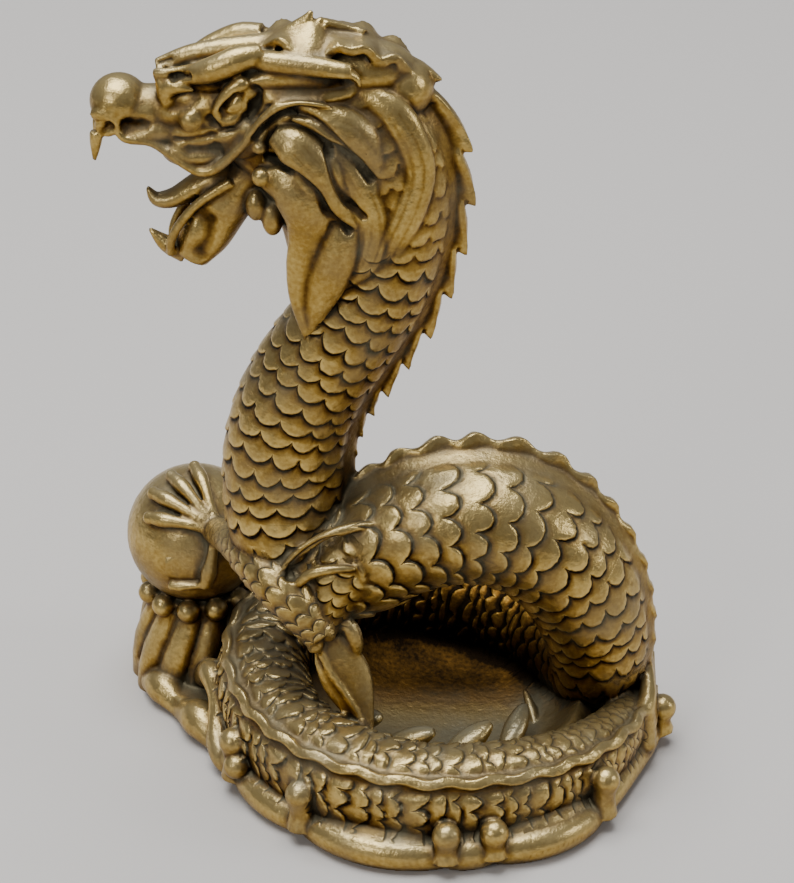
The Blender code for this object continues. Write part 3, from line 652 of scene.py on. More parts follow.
def lay_finger(name, tip, radius=0.38, root=PALM):
    start, end = over_pearl(root), over_pearl(tip)
    centres, radii = [], []
    shares = smooth_path([[s] for s in (1.4, 1.05, 0.85, 0.85, 1.0, 1.25, 1.15, 0.75)], 4)[:, 0]
    for k, share in enumerate(shares):
        way = start.slerp(end, k / (len(shares) - 1)).normalized()
        centres.append(pearl_centre + way * (PEARL_RADIUS + radius * MM * 0.8))
        radii.append(radius * MM * share)
    roll_up(name, centres, radii, (0.3, -0.2, 1), 18)
    ball(f"{name}_tip", centres[-2], radius * 1.12 * MM)


for k, tip in enumerate(FINGERS):
    lay_finger(f"finger_{k + 1}", tip)
lay_finger("thumb", THUMB)
lay_finger("thumb_hook", (-108, -18), 0.26, THUMB)
palm = pearl_centre + over_pearl(PALM) * (PEARL_RADIUS + 0.25 * MM)
ball("palm", palm, 0.85 * MM)
print("the palm is at", [round(v / MM, 1) for v in palm], "mm")

# %% Scaled forearm and upper arm
limbs = []  # where their scales lie, for the material


def scaled_limb(name, centres, radii, facing, across=8, pitch=0.7, relief=0.2):
    centres, radii = np.array(centres, float), np.array(radii, float)
    step = np.linalg.norm(np.diff(centres, axis=0), axis=1)
    passed = np.concatenate([[0], np.cumsum(step / (pitch * radii[1:]))])

    def height(i, angle):
        return scale_height(passed[i], angle / 360 * across) * relief * radii[i]

    limbs.append((centres, radii, facing, passed, pitch, across))
    return roll_up(name, centres, radii, facing, 96, relief=height)


forearm = smooth_path([
    (-7.0, -4.8, 9.3, 0.95), (-8.8, -4.1, 11.5, 1.28), (-10.5, -2.3, 12.4, 1.25), (-12.2, 0.6, 12.3, 0.95),
    (*[v / MM for v in palm - at(0, 0, 0)], 0.72),
], 24)
scaled_limb("forearm", forearm[:, :3] * MM + [0, 0, PLATE_HEIGHT], forearm[:, 3] * MM, (0, 0, 1))
upper_arm = smooth_path([
    (-2.6, -1.5, 14.0, 1.7), (-4.3, -2.0, 13.4, 2.35), (-5.9, -2.8, 12.0, 2.15), (-6.8, -3.8, 10.4, 1.35),
    (-7.0, -4.5, 9.2, 0.85),
], 24)
scaled_limb("upper_arm", upper_arm[:, :3] * MM + [0, 0, PLATE_HEIGHT], upper_arm[:, 3] * MM, (0, -1, 0),
            across=11, pitch=0.5, relief=0.1)
print("forms so far:", len(shapes))

# %% Elbow, tuft and flame
curl("elbow", [(-7.2, -4.8, 9.8, 0.35), (-7.35, -5.2, 9.0, 0.48), (-7.4, -5.3, 8.5, 0.4)])
egg("elbow_spur", -6.6, -5.1, 9.6, (0.45, 0.45, 0.5))
curl("far_tuft", [
    (-6.2, -4.2, 10.0, 0.4), (-5.4, -4.2, 9.4, 0.55), (-5.0, -4.4, 8.4, 0.45), (-4.9, -4.6, 7.6, 0.1),
])
curl("elbow_tuft", [
    (-6.9, -4.6, 9.3, 0.7), (-6.2, -4.8, 7.8, 1.35), (-5.5, -5.0, 6.2, 1.5), (-4.8, -5.6, 4.5, 0.95),
    (-4.1, -6.3, 2.9, 0.15),
], (0.15, -1, 0.6), flat=0.36)
curl("tuft_rib", [
    (-7.1, -5.2, 8.4, 0.28), (-6.5, -5.45, 7.1, 0.24), (-5.6, -5.7, 5.7, 0.22), (-4.8, -6.0, 4.2, 0.2),
    (-4.1, -6.45, 2.8, 0.08),
])
curl("shoulder_flame", [
    (-3.4, -3.4, 16.1, 0.12), (-5.0, -3.6, 16.0, 0.3), (-6.6, -3.8, 15.5, 0.36), (-8.2, -3.9, 14.4, 0.34),
    (-9.1, -3.9, 13.1, 0.3), (-8.6, -4.4, 12.5, 0.3), (-7.6, -4.75, 13.5, 0.32), (-6.3, -4.85, 13.9, 0.3),
    (-5.0, -4.8, 13.9, 0.12),
])
print("forms so far:", len(shapes))

# %% [markdown]
# ## The tail
#
# The tail ends in strands of hair that sweep up the edge of the base.

# %% Tail strands
STRAND_ENDS = [
    (12.7, 3.6, 4.6), (13.0, 3.1, 3.9), (13.2, 2.6, 3.2), (13.4, 1.2, 1.6), (13.1, -0.4, 0.3),
    (12.4, -2.2, -0.3),
]
for k, (x, y, z) in enumerate(STRAND_ENDS):
    drop = k * 0.8
    middle = (12.6, -1.4 - 0.4 * drop, 2.6 - 0.6 * drop, 0.55)
    curl(f"tail_strand_{k + 1}", [(10.6, -4.4, 1.3, 0.9), (11.7, -3.0, 1.9 - 0.3 * drop, 0.7), middle,
                                  (x, y, z, 0.12)])
print("forms so far:", len(shapes))

# %% [markdown]
# ## The cloud base
#
# The plate is a disc with a tongue that reaches under the pearl's stand: the convex hull of two discs. A
# rolled cloud band runs round its edge from scroll to scroll, thinner at each end, and behind it a second
# one fills the step up to the wall of the coil. The scrolls are upright posts with round heads.

# %% Plate
widest = max(distance + radius for angle, distance, radius, rise in COIL if angle >= 200)
plate_radius = (widest - 0.6) * MM
build = bmesh.new()
for place, radius in ((Vector((0, 0, 0)), plate_radius), (stand_place, foot)):
    disc = bmesh.ops.create_cone(
        build, cap_ends=True, segments=96, radius1=radius, radius2=radius, depth=PLATE_HEIGHT
    )
    bmesh.ops.translate(build, vec=place + Vector((0, 0, PLATE_HEIGHT / 2)), verts=disc["verts"])
hull = bmesh.ops.convex_hull(build, input=build.verts)
bmesh.ops.delete(build, geom=list(set(hull["geom_interior"])), context="VERTS")
finish_shape("plate", build)
print("the plate is", round(2 * plate_radius / MM, 1), "mm across")

# %% Rolled edge with scrolls
ROLL_RADIUS = 1.0 * MM
SCROLL_RADIUS = 0.85 * MM
SCROLL_OUT = 0.35 * MM  # the posts stand out from the band by this much
ROLL_DIP = 0.45  # how far the band draws in at its ends, in millimetres
SLOPE_IN, SLOPE_UP = 0.75 * MM, 0.45 * MM  # the second band, from the first
SCROLLS = [  # angle, how far out of the plate's edge, how tall, and the bulge of the roll to the next one
    (42, 0.4, 1.9, 0.3),
    (82, 0.4, 1.9, 0.3),
    (118, 0.5, 1.9, 0.0),
    (174, 1.0, 3.6, 0.1),
    (203, 0.8, 3.5, 0.0),
    (231, 0.5, 3.3, 0.3),
    (271, 0.7, 2.7, 0.0),
    (283, 0.6, 2.6, 0.4),
    (317, 0.5, 3.4, -0.9),
    (358, 1.0, 2.6, 0.2),
]
for (angle, out, tall, bulge), following in zip(SCROLLS, SCROLLS[1:] + SCROLLS[:1]):
    distance = plate_radius + out * MM + SCROLL_OUT
    low = polar(angle, distance, SCROLL_RADIUS)
    top = polar(angle, distance, tall * MM)
    waist = (low + top) / 2 - polar(angle, SCROLL_RADIUS * 0.2, 0)
    post = smooth_path([low, waist, top], 6)
    widths = smooth_path([[0.95], [0.85], [0.95]], 6)[:, 0] * SCROLL_RADIUS
    roll_up(f"scroll_{angle}", post, widths, polar(angle + 90, 1, 0), 24)
    ball(f"scroll_top_{angle}", top, SCROLL_RADIUS)
    turn = (following[0] - angle) % 360
    steps = max(8, round(turn))
    centres, widths = [], []
    for k in range(steps + 1):
        share = k / steps
        full = math.sin(math.pi * share)
        dip = ROLL_DIP * (1 - full**0.4)
        swell = (out + (following[1] - out) * share + bulge * full - dip) * MM
        widths.append(ROLL_RADIUS * (0.8 + 0.2 * full**0.5))
        centres.append(polar(angle + turn * share, plate_radius + swell - ROLL_RADIUS * 0.2, widths[-1]))
    roll_up(f"roll_{angle}", centres, widths, (0, 0, 1), 32)
    behind = [
        centre - polar(angle + turn * k / steps, SLOPE_IN, -SLOPE_UP) for k, centre in enumerate(centres)
    ]
    roll_up(f"slope_{angle}", behind, widths, (0, 0, 1), 32)
print("forms so far:", len(shapes))

# %% [markdown]
# At the left the edge is busier. A curl of cloud rises between the pearl's stand and the coil and comes
# down again beside the first knob, a second knob lies under that one, and the tongue's edge is a row of
# lumps. Heights here are from the ground, because the curl starts at the foot of the plate.

# %% Cloud curl, second knob and lumps
CLOUD_CURL = [  # angle, distance from the middle, height, radius
    (162, 15.4, 0.9, 0.5), (166, 15.0, 2.0, 0.75), (170, 14.5, 3.2, 0.75), (175, 14.0, 3.9, 0.85),
    (181, 13.6, 3.4, 0.6), (186, 13.6, 2.4, 0.6), (191, 13.7, 1.5, 0.75), (196, 13.5, 0.9, 0.7),
    (200, 13.1, 0.6, 0.3),
]
TONGUE_LUMPS = [  # x, y, height, radius
    (-18.2, 5.2, 0.7, 0.7), (-17.2, 3.8, 1.1, 1.1), (-16.0, 2.1, 0.7, 0.7), (-14.7, 0.2, 1.2, 1.2),
    (-13.4, -1.8, 0.7, 0.7), (-12.2, -3.9, 1.1, 1.1), (-11.0, -5.9, 0.7, 0.7),
]
ball("low_knob", polar(206, plate_radius + 1.25 * MM, 2.2 * MM), 0.8 * MM)
curl_rows = [(*polar(turn, distance, height), radius) for turn, distance, height, radius in CLOUD_CURL]
for name, rows in (("cloud_curl", curl_rows), ("cloud_band", TONGUE_LUMPS)):
    rows = smooth_path(rows, 8)
    roll_up(name, rows[:, :3] * MM, rows[:, 3] * MM, (0, 0, 1), 20)
print("forms so far:", len(shapes))

# %% [markdown]
# Inside the coil the floor is a shallow dish. Little waves stand in it along the front, each a crescent
# that thickens, rises and ends in a tip, and they get smaller towards the foot of the arch.

# %% Waves inside the coil
inner = min(distance - radius for angle, distance, radius, rise in COIL) * MM
WAVE = [  # turn in degrees, distance inside the coil's narrowest line, height, radius
    (0, 0.3, 0.8, 0.35), (10, 0.65, 1.5, 0.8), (20, 0.9, 2.1, 0.9), (29, 1.0, 2.6, 0.65),
    (35, 1.0, 2.9, 0.3),
]
WAVE_SIZES = (1.0, 1.0, 1.0, 0.8, 0.35)
FIRST_WAVE, NEXT_WAVE = 194, 37  # where the first starts, and how far on the next one does, in degrees
for k, size in enumerate(WAVE_SIZES):
    start = FIRST_WAVE + NEXT_WAVE * k
    rows = [
        (*polar(start + turn, inner - inside * MM, PLATE_HEIGHT + rise * size * MM), thick * size * MM)
        for turn, inside, rise, thick in WAVE
    ]
    rows = smooth_path(rows, 6)
    roll_up(f"wave_{k + 1}", rows[:, :3], rows[:, 3], (0, 0, 1), 20, flat=0.8)

print("waves:", len(WAVE_SIZES))

# %% The dish, a grid bent round the middle
DISH_RADIUS = 9.0 * MM
DISH_WALL = 1.2 * MM
DISH_RISE = 2.4 * MM
DISH_SUNK = 0.55 * MM  # its middle surface starts this far below the plate's top
build = bmesh.new()
bmesh.ops.create_grid(build, x_segments=12, y_segments=72, size=0.5)
for vert in build.verts:
    share = vert.co.x + 0.5
    height = PLATE_HEIGHT + DISH_RISE * share**4 - DISH_SUNK
    vert.co = polar(360 * (vert.co.y + 0.5), DISH_RADIUS * share, height)
bmesh.ops.remove_doubles(build, verts=build.verts, dist=1e-7)
dish = finish_shape("dish", build)
wall = dish.modifiers.new("wall", "SOLIDIFY")
wall.thickness = DISH_WALL
wall.offset = 0
print("forms to melt:", len(shapes))

# %% [markdown]
# ## Pouring the casting
#
# Now all the forms are melted into one skin. They are put into one mesh, and a voxel Remesh wraps it, which
# also rounds every joint a little, as wax does. The grain of a tenth of a millimetre is about the finest
# detail that such a casting keeps.

# %% Melt the forms
GRAIN = 0.1 * MM
bpy.context.view_layer.update()
graph = bpy.context.evaluated_depsgraph_get()
build = bmesh.new()
for shape in shapes:
    mesh = bpy.data.meshes.new_from_object(shape.evaluated_get(graph), depsgraph=graph)
    build.from_mesh(mesh)
    bpy.data.meshes.remove(mesh)
for shape in shapes:
    bpy.data.objects.remove(shape)
mesh = bpy.data.meshes.new("dragon")
build.to_mesh(mesh)
build.free()
dragon = bpy.data.objects.new("dragon", mesh)
bpy.context.scene.collection.objects.link(dragon)


def settle(thing):
    """Applies the modifiers to the mesh."""
    bpy.context.view_layer.update()
    graph = bpy.context.evaluated_depsgraph_get()
    mesh = bpy.data.meshes.new_from_object(thing.evaluated_get(graph), depsgraph=graph)
    thing.modifiers.clear()
    thing.data = mesh
    mesh.name = thing.name


melt = dragon.modifiers.new("melt", "REMESH")
melt.mode = "VOXEL"
melt.voxel_size = GRAIN
settle(dragon)
print("points after the melt:", len(dragon.data.vertices))

# %% [markdown]
# ## Carving the skin
#
# What the forms leave too soft is cut into the skin, as a chaser does with a punch: nostrils, the slit of the
# eye, the dark valleys between the locks. A stroke is a line and a width, and every point near the line moves
# in along its normal, less and less towards the stroke's edge. Strokes on the head are drawn from the side,
# as x and z, and both sides get them.

# %% The skin as arrays
count = len(dragon.data.vertices)
skin = np.empty(count * 3)
dragon.data.vertices.foreach_get("co", skin)
skin = skin.reshape(-1, 3)
normals = np.empty(count * 3, np.float32)
dragon.data.vertex_normals.foreach_get("vector", normals)
normals = normals.reshape(-1, 3).astype(float)
edges = np.empty(len(dragon.data.edges) * 2, np.int32)
dragon.data.edges.foreach_get("vertices", edges)
edges = edges.reshape(-1, 2)
print("points:", count, "edges:", len(edges))

# %% A stroke
ABOVE = PLATE_HEIGHT / MM


def distance_to(points, line):
    if len(line) == 1:
        return np.linalg.norm(points - line[0], axis=1)
    best = np.full(len(points), np.inf)
    for a, b in zip(line, line[1:]):
        share = np.clip((points - a) @ (b - a) / ((b - a) @ (b - a)), 0, 1)
        best = np.minimum(best, np.linalg.norm(points - a - share[:, None] * (b - a), axis=1))
    return best


def stroke(line, width, depth, side=None):
    """Cuts along a line by depth, or raises it where depth is negative. Everything is in millimetres. A
    line of x and z is cut into one side of the head, and a line of x, y and z into what lies there."""
    line = np.array(line, float)
    if len(line) > 1:
        line = smooth_path(line, 6)
    line[:, -1] += ABOVE
    axes = [0, 1, 2] if side is None else [0, 2]
    place = skin / MM
    near = np.ones(len(place), bool)
    for k, axis in enumerate(axes):
        near &= (place[:, axis] > line[:, k].min() - width) & (place[:, axis] < line[:, k].max() + width)
    if side is not None:
        near &= (side * (place[:, 1] - HEAD_PLANE) > 0.25) & (side * normals[:, 1] > -0.2)
    found = np.flatnonzero(near)
    if not len(found):
        return 0
    away = distance_to(place[found][:, axes], line) / width
    share = np.clip(1 - away**2, 0, 1) ** 2
    skin[found] -= normals[found] * (share * depth)[:, None] * MM
    return int((share > 0).sum())


print("a stroke is ready")

# %% Strokes on the head
HEAD_STROKES = [  # the line's points, width, depth
    ([(-18.4, 40.2), (-18.1, 40.5)], 0.45, 0.4),
    ([(-17.0, 40.5), (-16.3, 40.6)], 0.7, 0.25),
    ([(-14.5, 39.9), (-13.2, 40.1), (-12.2, 40.4), (-11.5, 40.7)], 0.3, 0.2),
    ([(-13.7, 39.4), (-12.2, 39.6), (-11.2, 40.4)], 0.6, 0.2),
    ([(-14.6, 43.3), (-13.7, 43.6)], 0.28, 0.4),
    ([(-13.4, 42.2), (-13.9, 41.8), (-14.7, 41.6)], 0.4, 0.12),
    ([(-11.9, 41.8), (-11.5, 42.3), (-11.1, 42.7)], 0.22, 0.35),
    ([(-12.6, 41.2), (-12.1, 40.7), (-11.2, 40.9), (-10.6, 41.5)], 0.35, 0.3),
    ([(-10.2, 43.1), (-10.0, 42.3), (-10.5, 41.3)], 0.35, 0.3),
    ([(-9.7, 43.0), (-8.1, 43.1), (-6.2, 43.1), (-5.2, 43.2)], 0.75, 0.45),
    ([(-15.3, 43.8), (-14.7, 44.0)], 0.2, 0.25),
    ([(-10.1, 40.3), (-9.5, 41.1), (-8.5, 41.8), (-7.2, 41.7), (-6.2, 40.9), (-5.5, 40.0), (-4.7, 39.1),
      (-4.0, 38.0)], 0.35, 0.35),
    ([(-9.5, 39.0), (-8.5, 38.8), (-7.7, 38.3), (-6.9, 37.5), (-6.3, 36.2), (-5.2, 35.0)], 0.35, 0.4),
    ([(-6.3, 39.9), (-5.9, 38.3), (-5.3, 36.9), (-4.4, 35.9)], 0.3, 0.3),
    ([(-12.9, 34.9), (-13.0, 33.8), (-13.4, 32.9)], 0.9, 0.45),
]
moved = 0
for line, width, depth in HEAD_STROKES:
    moved += stroke(line, width, depth, -1) + stroke(line, width, depth, 1)
print("points moved on the head:", moved)

# %% [markdown]
# The upper locks get finer strokes along them, so that they read as hair and not as horns. The lines run
# beside the middle of the lock, and fade out before its ends. The long locks below stay smooth.

# %% Grooves in the hair
moved = 0
for name in ("mane_top", "mane_back", "mane_cheek", "mane_middle"):
    path = np.array(LOCKS[name][1])
    for shift in (-0.45, 0.1, 0.5):
        middle = path[1:-1]
        along = unit(np.gradient(middle[:, [0, 2]], axis=0))
        beside = np.stack([along[:, 1], -along[:, 0]], 1) * (middle[:, 3] * shift)[:, None]
        line = middle[:, [0, 2]] + beside
        moved += stroke(line, 0.16, 0.035, -1) + stroke(line, 0.16, 0.035, 1)
print("points moved in the mane:", moved)

# %% Strokes on the body and the base
BODY_STROKES = [
    ([(-8.8, -4.3, 13.2), (-8.1, -4.3, 14.3), (-7.2, -4.2, 15.0), (-6.2, -4.1, 15.2)], 0.6, 0.45),
    ([(-7.6, -5.3, 8.3), (-6.9, -5.3, 7.4)], 0.3, 0.2),
]
moved = sum(stroke(line, width, depth) for line, width, depth in BODY_STROKES)
for k in range(26):  # fine hatching on the lower edge of the front roll
    angle = 284 + 1.4 * k
    low, high = polar(angle, 13.5, 0.25 - ABOVE), polar(angle + 1.0, 14.1, 1.2 - ABOVE)
    moved += stroke([low, high], 0.14, 0.06)
print("points moved on body and base:", moved)

# %% [markdown]
# ## Smoothing and measuring the skin
#
# A little smoothing takes away the steps that the voxels leave. Smoothing much more, and comparing with the
# skin as it is, tells how deep each point lies among its neighbours: that is where polish doesn't reach and
# the dark patina stays. The result is kept as an attribute for the material.

# %% Smooth, then measure the hollows
neighbours = np.bincount(edges.ravel(), minlength=count)


def relaxed(values):
    """Each point's value replaced by the mean of its neighbours'."""
    total = [
        np.bincount(edges[:, 0], weights=values[edges[:, 1], k], minlength=count)
        + np.bincount(edges[:, 1], weights=values[edges[:, 0], k], minlength=count)
        for k in range(values.shape[1])
    ]
    return np.stack(total, 1) / np.maximum(neighbours, 1)[:, None]


for push in (0.45, -0.2, 0.3):
    skin += (relaxed(skin) - skin) * push
skin[skin[:, 2] < GRAIN, 2] = 0  # ground flat below
soft = skin.copy()
hollows = {}
for rounds in range(1, 91):
    soft = relaxed(soft)
    if rounds in (14, 90):
        hollows[rounds] = ((soft - skin) * normals).sum(1) / MM
for name, values in (("hollow", hollows[14]), ("deep_hollow", hollows[90])):
    layer = dragon.data.attributes.new(name, "FLOAT", "POINT")
    layer.data.foreach_set("value", values.astype(np.float32))
    print(name, "in mm:", np.round(np.percentile(values, [2, 25, 50, 75, 98]), 3))
dragon.data.vertices.foreach_set("co", skin.ravel().astype(np.float32))
dragon.data.update()

# %% [markdown]
# ## Thinning
#
# The melted skin has far more faces than it needs on its smooth parts. Decimate collapses those first and
# keeps them where the skin bends, at the edges of the scales. Voids that the melt closed in are dropped after
# that: only the largest connected shell is the casting.

# %% Thin the faces and keep the outer shell
FACES = 190_000
thin = dragon.modifiers.new("thin", "DECIMATE")
thin.ratio = FACES / (2 * len(dragon.data.polygons))
thin.use_collapse_triangulate = True
settle(dragon)
links = np.empty(len(dragon.data.edges) * 2, np.int32)
dragon.data.edges.foreach_get("vertices", links)
links = links.reshape(-1, 2)
shell = np.arange(len(dragon.data.vertices))
while True:
    lowest = np.minimum(shell[links[:, 0]], shell[links[:, 1]])
    before = shell.copy()
    np.minimum.at(shell, links[:, 0], lowest)
    np.minimum.at(shell, links[:, 1], lowest)
    shell = shell[shell]
    if (shell == before).all():
        break
names, sizes = np.unique(shell, return_counts=True)
build = bmesh.new()
build.from_mesh(dragon.data)
build.verts.ensure_lookup_table()
inner_points = [build.verts[i] for i in np.flatnonzero(shell != names[sizes.argmax()])]
bmesh.ops.delete(build, geom=inner_points, context="VERTS")
build.to_mesh(dragon.data)
build.free()
print("shells:", len(names), "points dropped:", len(inner_points), "faces:", len(dragon.data.polygons))

# %% [markdown]
# A second measure is how open each point is. Rays go out from it in fixed directions, and the share that
# meets nothing within a few millimetres is kept. Deep places such as the well inside the coil come out
# closed, and there the metal is nearly black, with patina and with painted shade.

# %% How open each point is
tree = BVHTree.FromPolygons(
    [vert.co for vert in dragon.data.vertices], [list(face.vertices) for face in dragon.data.polygons]
)
RAYS = 28
ray_turns = np.arange(RAYS) * math.pi * (3 - math.sqrt(5))
ray_rises = 1 - 2 * (np.arange(RAYS) + 0.5) / RAYS
ray_ways = [
    Vector((math.sqrt(1 - rise * rise) * math.cos(turn), math.sqrt(1 - rise * rise) * math.sin(turn), rise))
    for turn, rise in zip(ray_turns, ray_rises)
]
REACH = 7 * MM
openness = []
for vert in dragon.data.vertices:
    start = vert.co + vert.normal * 0.08 * MM
    total = free = 0.0
    for way in ray_ways:
        facing = way.dot(vert.normal)
        if facing > 0.15:
            total += facing
            if tree.ray_cast(start, way, REACH)[0] is None:
                free += facing
    openness.append(free / total if total else 0)
layer = dragon.data.attributes.new("openness", "FLOAT", "POINT")
layer.data.foreach_set("value", np.array(openness, np.float32))
print("openness:", np.round(np.percentile(openness, [5, 25, 50, 75, 95]), 2))

# %% [markdown]
# Two simpler measures complete the set. Faces that look up were rubbed and gather a thin film of dust, and
# sides and undersides are painted browner as shade. And the well inside the coil is painted dark as shade
# behind the arch, while the floor of the well in front of the arch is painted light: there the measure goes below zero.

# %% Facing up, and painted shade and light in the well
count = len(dragon.data.vertices)
points = np.empty(count * 3, np.float32)
dragon.data.vertices.foreach_get("co", points)
points = points.reshape(-1, 3).astype(float)
normals = np.empty(count * 3, np.float32)
dragon.data.vertex_normals.foreach_get("vector", normals)
upward = normals.reshape(-1, 3)[:, 2].astype(float)
from_middle = np.hypot(points[:, 0], points[:, 1]) / MM
back, height = points[:, 1] / MM, points[:, 2] / MM
# painted shade in the well behind the arch, and painted light on the well's floor in front of it, which takes the
# measure below zero
painted_well_shade_and_light = smooth_step(10.4, 8.8, from_middle) * smooth_step(9.5, 7.0, height) * smooth_step(-1.5, 3.5, back)
painted_light_in_front = smooth_step(7.5, 5.5, from_middle) * smooth_step(6.5, 4.5, height) * smooth_step(1.5, -2.0, back)
painted_well_shade_and_light -= 0.9 * painted_light_in_front
for name, values in (("upward", upward), ("painted_well_shade_and_light", painted_well_shade_and_light)):
    layer = dragon.data.attributes.new(name, "FLOAT", "POINT")
    layer.data.foreach_set("value", values.astype(np.float32))
print("points in the well:", int((painted_well_shade_and_light > 0.5).sum()))

# %% [markdown]
# The edges of the scales are sharper than the mesh can hold, so the colour carries them: a painted shadow just
# below each free edge, and a rim rubbed bright on it. So the skin gets a UV map that says for each point where it
# lies among the scales: U counts rows along the body, V counts scales round it. The material draws the edges from that.
# The scaled arm has its own rows, and where its skin meets the body's no edges are drawn.

# %% A map of the scales


def place_on(centres, radii, facing, rows_passed, pitch):
    """For each point of the skin: the nearest ring of a tube, the angle round it, the rows passed along it,
    and the distance from its middle line as a share of the radius."""
    finder = KDTree(len(centres))
    for k, centre in enumerate(centres):
        finder.insert(centre, k)
    finder.balance()
    ring = np.array([finder.find(vert.co)[1] for vert in dragon.data.vertices])
    along = unit(np.gradient(centres, axis=0))[ring]
    facing = np.broadcast_to(np.array(facing, float), centres.shape)[ring]
    facing = unit(facing - along * (facing * along).sum(1, keepdims=True))
    away = points - centres[ring]
    ahead = (away * along).sum(1)
    turned = np.arctan2((away * facing).sum(1), (away * np.cross(along, facing)).sum(1))
    beside = np.linalg.norm(away - along * ahead[:, None], axis=1)
    passed = rows_passed[ring] + ahead / (pitch * radii[ring])
    return ring, np.degrees(turned) % 360, passed, beside / radii[ring]


nearest, angle, rows, ratio = place_on(
    body_centres, body_path[:, 3] * MM, body_path[:, 5:8], body_rows_passed, SCALE_PITCH
)
ratio = ratio / plain_radius(nearest, angle)
scaled = scaled_share(nearest, angle) * smooth_step(1.27, 1.2, ratio) * smooth_step(0.8, 0.92, ratio)
scaled *= smooth_step(6.6, 7.4, body_point[nearest])  # the head has none
off_body = np.abs(ratio - 1.05) * body_path[nearest, 3]  # how far from the body's skin, in millimetres
owner = np.zeros(count, int)  # 0 for the body, or the number of the limb
limb_round = np.zeros(count)
for k, (centres, radii, facing, passed, pitch, across) in enumerate(limbs, 1):
    ring, limb_angle, limb_rows, limb_ratio = place_on(centres, radii, facing, passed, pitch)
    inside_ends = (limb_rows > passed[0]) & (limb_rows < passed[-1])
    off_limb = np.where(inside_ends, np.abs(limb_ratio - 1.08) * radii[ring] / MM, 9.0)
    taken = off_limb < off_body
    share = smooth_step(0.0, 0.15, np.abs(off_limb - off_body))  # none where two tubes meet
    on_limb = smooth_step(0.4, 0.25, off_limb)
    scaled = np.where(taken, on_limb, scaled) * share
    owner[taken] = k
    angle, rows = np.where(taken, limb_angle, angle), np.where(taken, limb_rows, rows)
    limb_round[taken] = across
    off_body = np.minimum(off_body, off_limb)
layer = dragon.data.attributes.new("scaled", "FLOAT", "POINT")
layer.data.foreach_set("value", scaled.astype(np.float32))

corners = np.empty(len(dragon.data.loops), np.int32)
dragon.data.loops.foreach_get("vertex_index", corners)
corner_angle = angle[corners].reshape(-1, 3)  # Decimate leaves triangles only
corner_angle += 360 * (corner_angle.max(1, keepdims=True) - corner_angle > 180)
corner_angle = corner_angle.ravel()
u, v = scale_place(nearest[corners], corner_angle, rows[corners])
u = np.where(owner[corners] > 0, rows[corners], u)
v = np.where(owner[corners] > 0, corner_angle / 360 * limb_round[corners], v)
scale_map = dragon.data.uv_layers.new(name="scales")
scale_map.data.foreach_set("uv", np.stack([u, v], 1).astype(np.float32).ravel())
print("share of the skin with scales:", round(float((scaled > 0.5).mean()), 2))

# %% [markdown]
# ## Brass
#
# Cast brass is a yellow metal that comes out of the mould with a fine sandy skin. This piece was polished by
# hand, so its raised parts are bright and a little scratched, and it has darkened since: nearly black in the
# recesses where nothing rubs it. Shade is painted into the colour too: browner sides and undersides, a dark
# well behind the arch and dark lines below the edges of the scales. So one material mixes four tones of the
# metal by how deep and how open each point is, with noise so that no border is sharp.

# %% Colours


def linear(hex_colour):
    """An sRGB hex colour as Blender's linear RGBA."""
    parts = [int(hex_colour[k : k + 2], 16) / 255 for k in (1, 3, 5)]
    return (*[p / 12.92 if p <= 0.04045 else ((p + 0.055) / 1.055) ** 2.4 for p in parts], 1.0)


POLISHED = linear("#CFB26A")
WORN_GOLD = linear("#9B7B38")
BROWN = linear("#64461A")
NEARLY_BLACK = linear("#1C140B")
GREY_FILM = linear("#A19878")
print("polished brass in linear light:", [round(c, 2) for c in POLISHED[:3]])


def node(tree, kind, links=None, **settings):
    """Adds a node with its settings, and links or sets its inputs."""
    made = tree.nodes.new(kind)
    for name, value in settings.items():
        setattr(made, name, value)
    for name, value in (links or {}).items():
        if isinstance(value, bpy.types.NodeSocket):
            tree.links.new(value, made.inputs[name])
        else:
            made.inputs[name].default_value = value
    return made


# %% The brass material
brass = bpy.data.materials.new("cast_brass_darkened")
brass.use_nodes = True
nodes = brass.node_tree
shader = nodes.nodes["Principled BSDF"]
place = node(nodes, "ShaderNodeTexCoord").outputs["Object"]
hollow = node(nodes, "ShaderNodeAttribute", attribute_name="hollow").outputs["Fac"]
deep = node(nodes, "ShaderNodeAttribute", attribute_name="deep_hollow").outputs["Fac"]
openly = node(nodes, "ShaderNodeAttribute", attribute_name="openness").outputs["Fac"]

up = node(nodes, "ShaderNodeAttribute", attribute_name="upward").outputs["Fac"]
# painted shade in the well behind the arch, and painted light on its floor in front
well_shade_and_light = node(nodes, "ShaderNodeAttribute", attribute_name="painted_well_shade_and_light").outputs["Fac"]
has_scales = node(nodes, "ShaderNodeAttribute", attribute_name="scaled").outputs["Fac"]

# the distance past the free edge of the nearest scale, in rows: the same formula as for the form
across = node(nodes, "ShaderNodeSeparateXYZ", {0: node(nodes, "ShaderNodeUVMap", uv_map="scales").outputs[0]})
row = node(nodes, "ShaderNodeMath", {0: across.outputs[0]}, operation="FLOOR").outputs[0]
odd = node(nodes, "ShaderNodeMath", {0: row, 1: 2.0}, operation="FLOORED_MODULO").outputs[0]
turned = node(nodes, "ShaderNodeMath", {0: odd, 1: 0.5, 2: across.outputs[1]}, operation="MULTIPLY_ADD").outputs[0]
turned = node(nodes, "ShaderNodeMath", {0: turned}, operation="FRACT").outputs[0]
offset = node(nodes, "ShaderNodeMath", {0: turned, 1: 2.0, 2: -1.0}, operation="MULTIPLY_ADD").outputs[0]
square = node(nodes, "ShaderNodeMath", {0: offset, 1: offset}, operation="MULTIPLY").outputs[0]
inside = node(nodes, "ShaderNodeMath", {0: 1.0, 1: square}, operation="SUBTRACT", use_clamp=True).outputs[0]
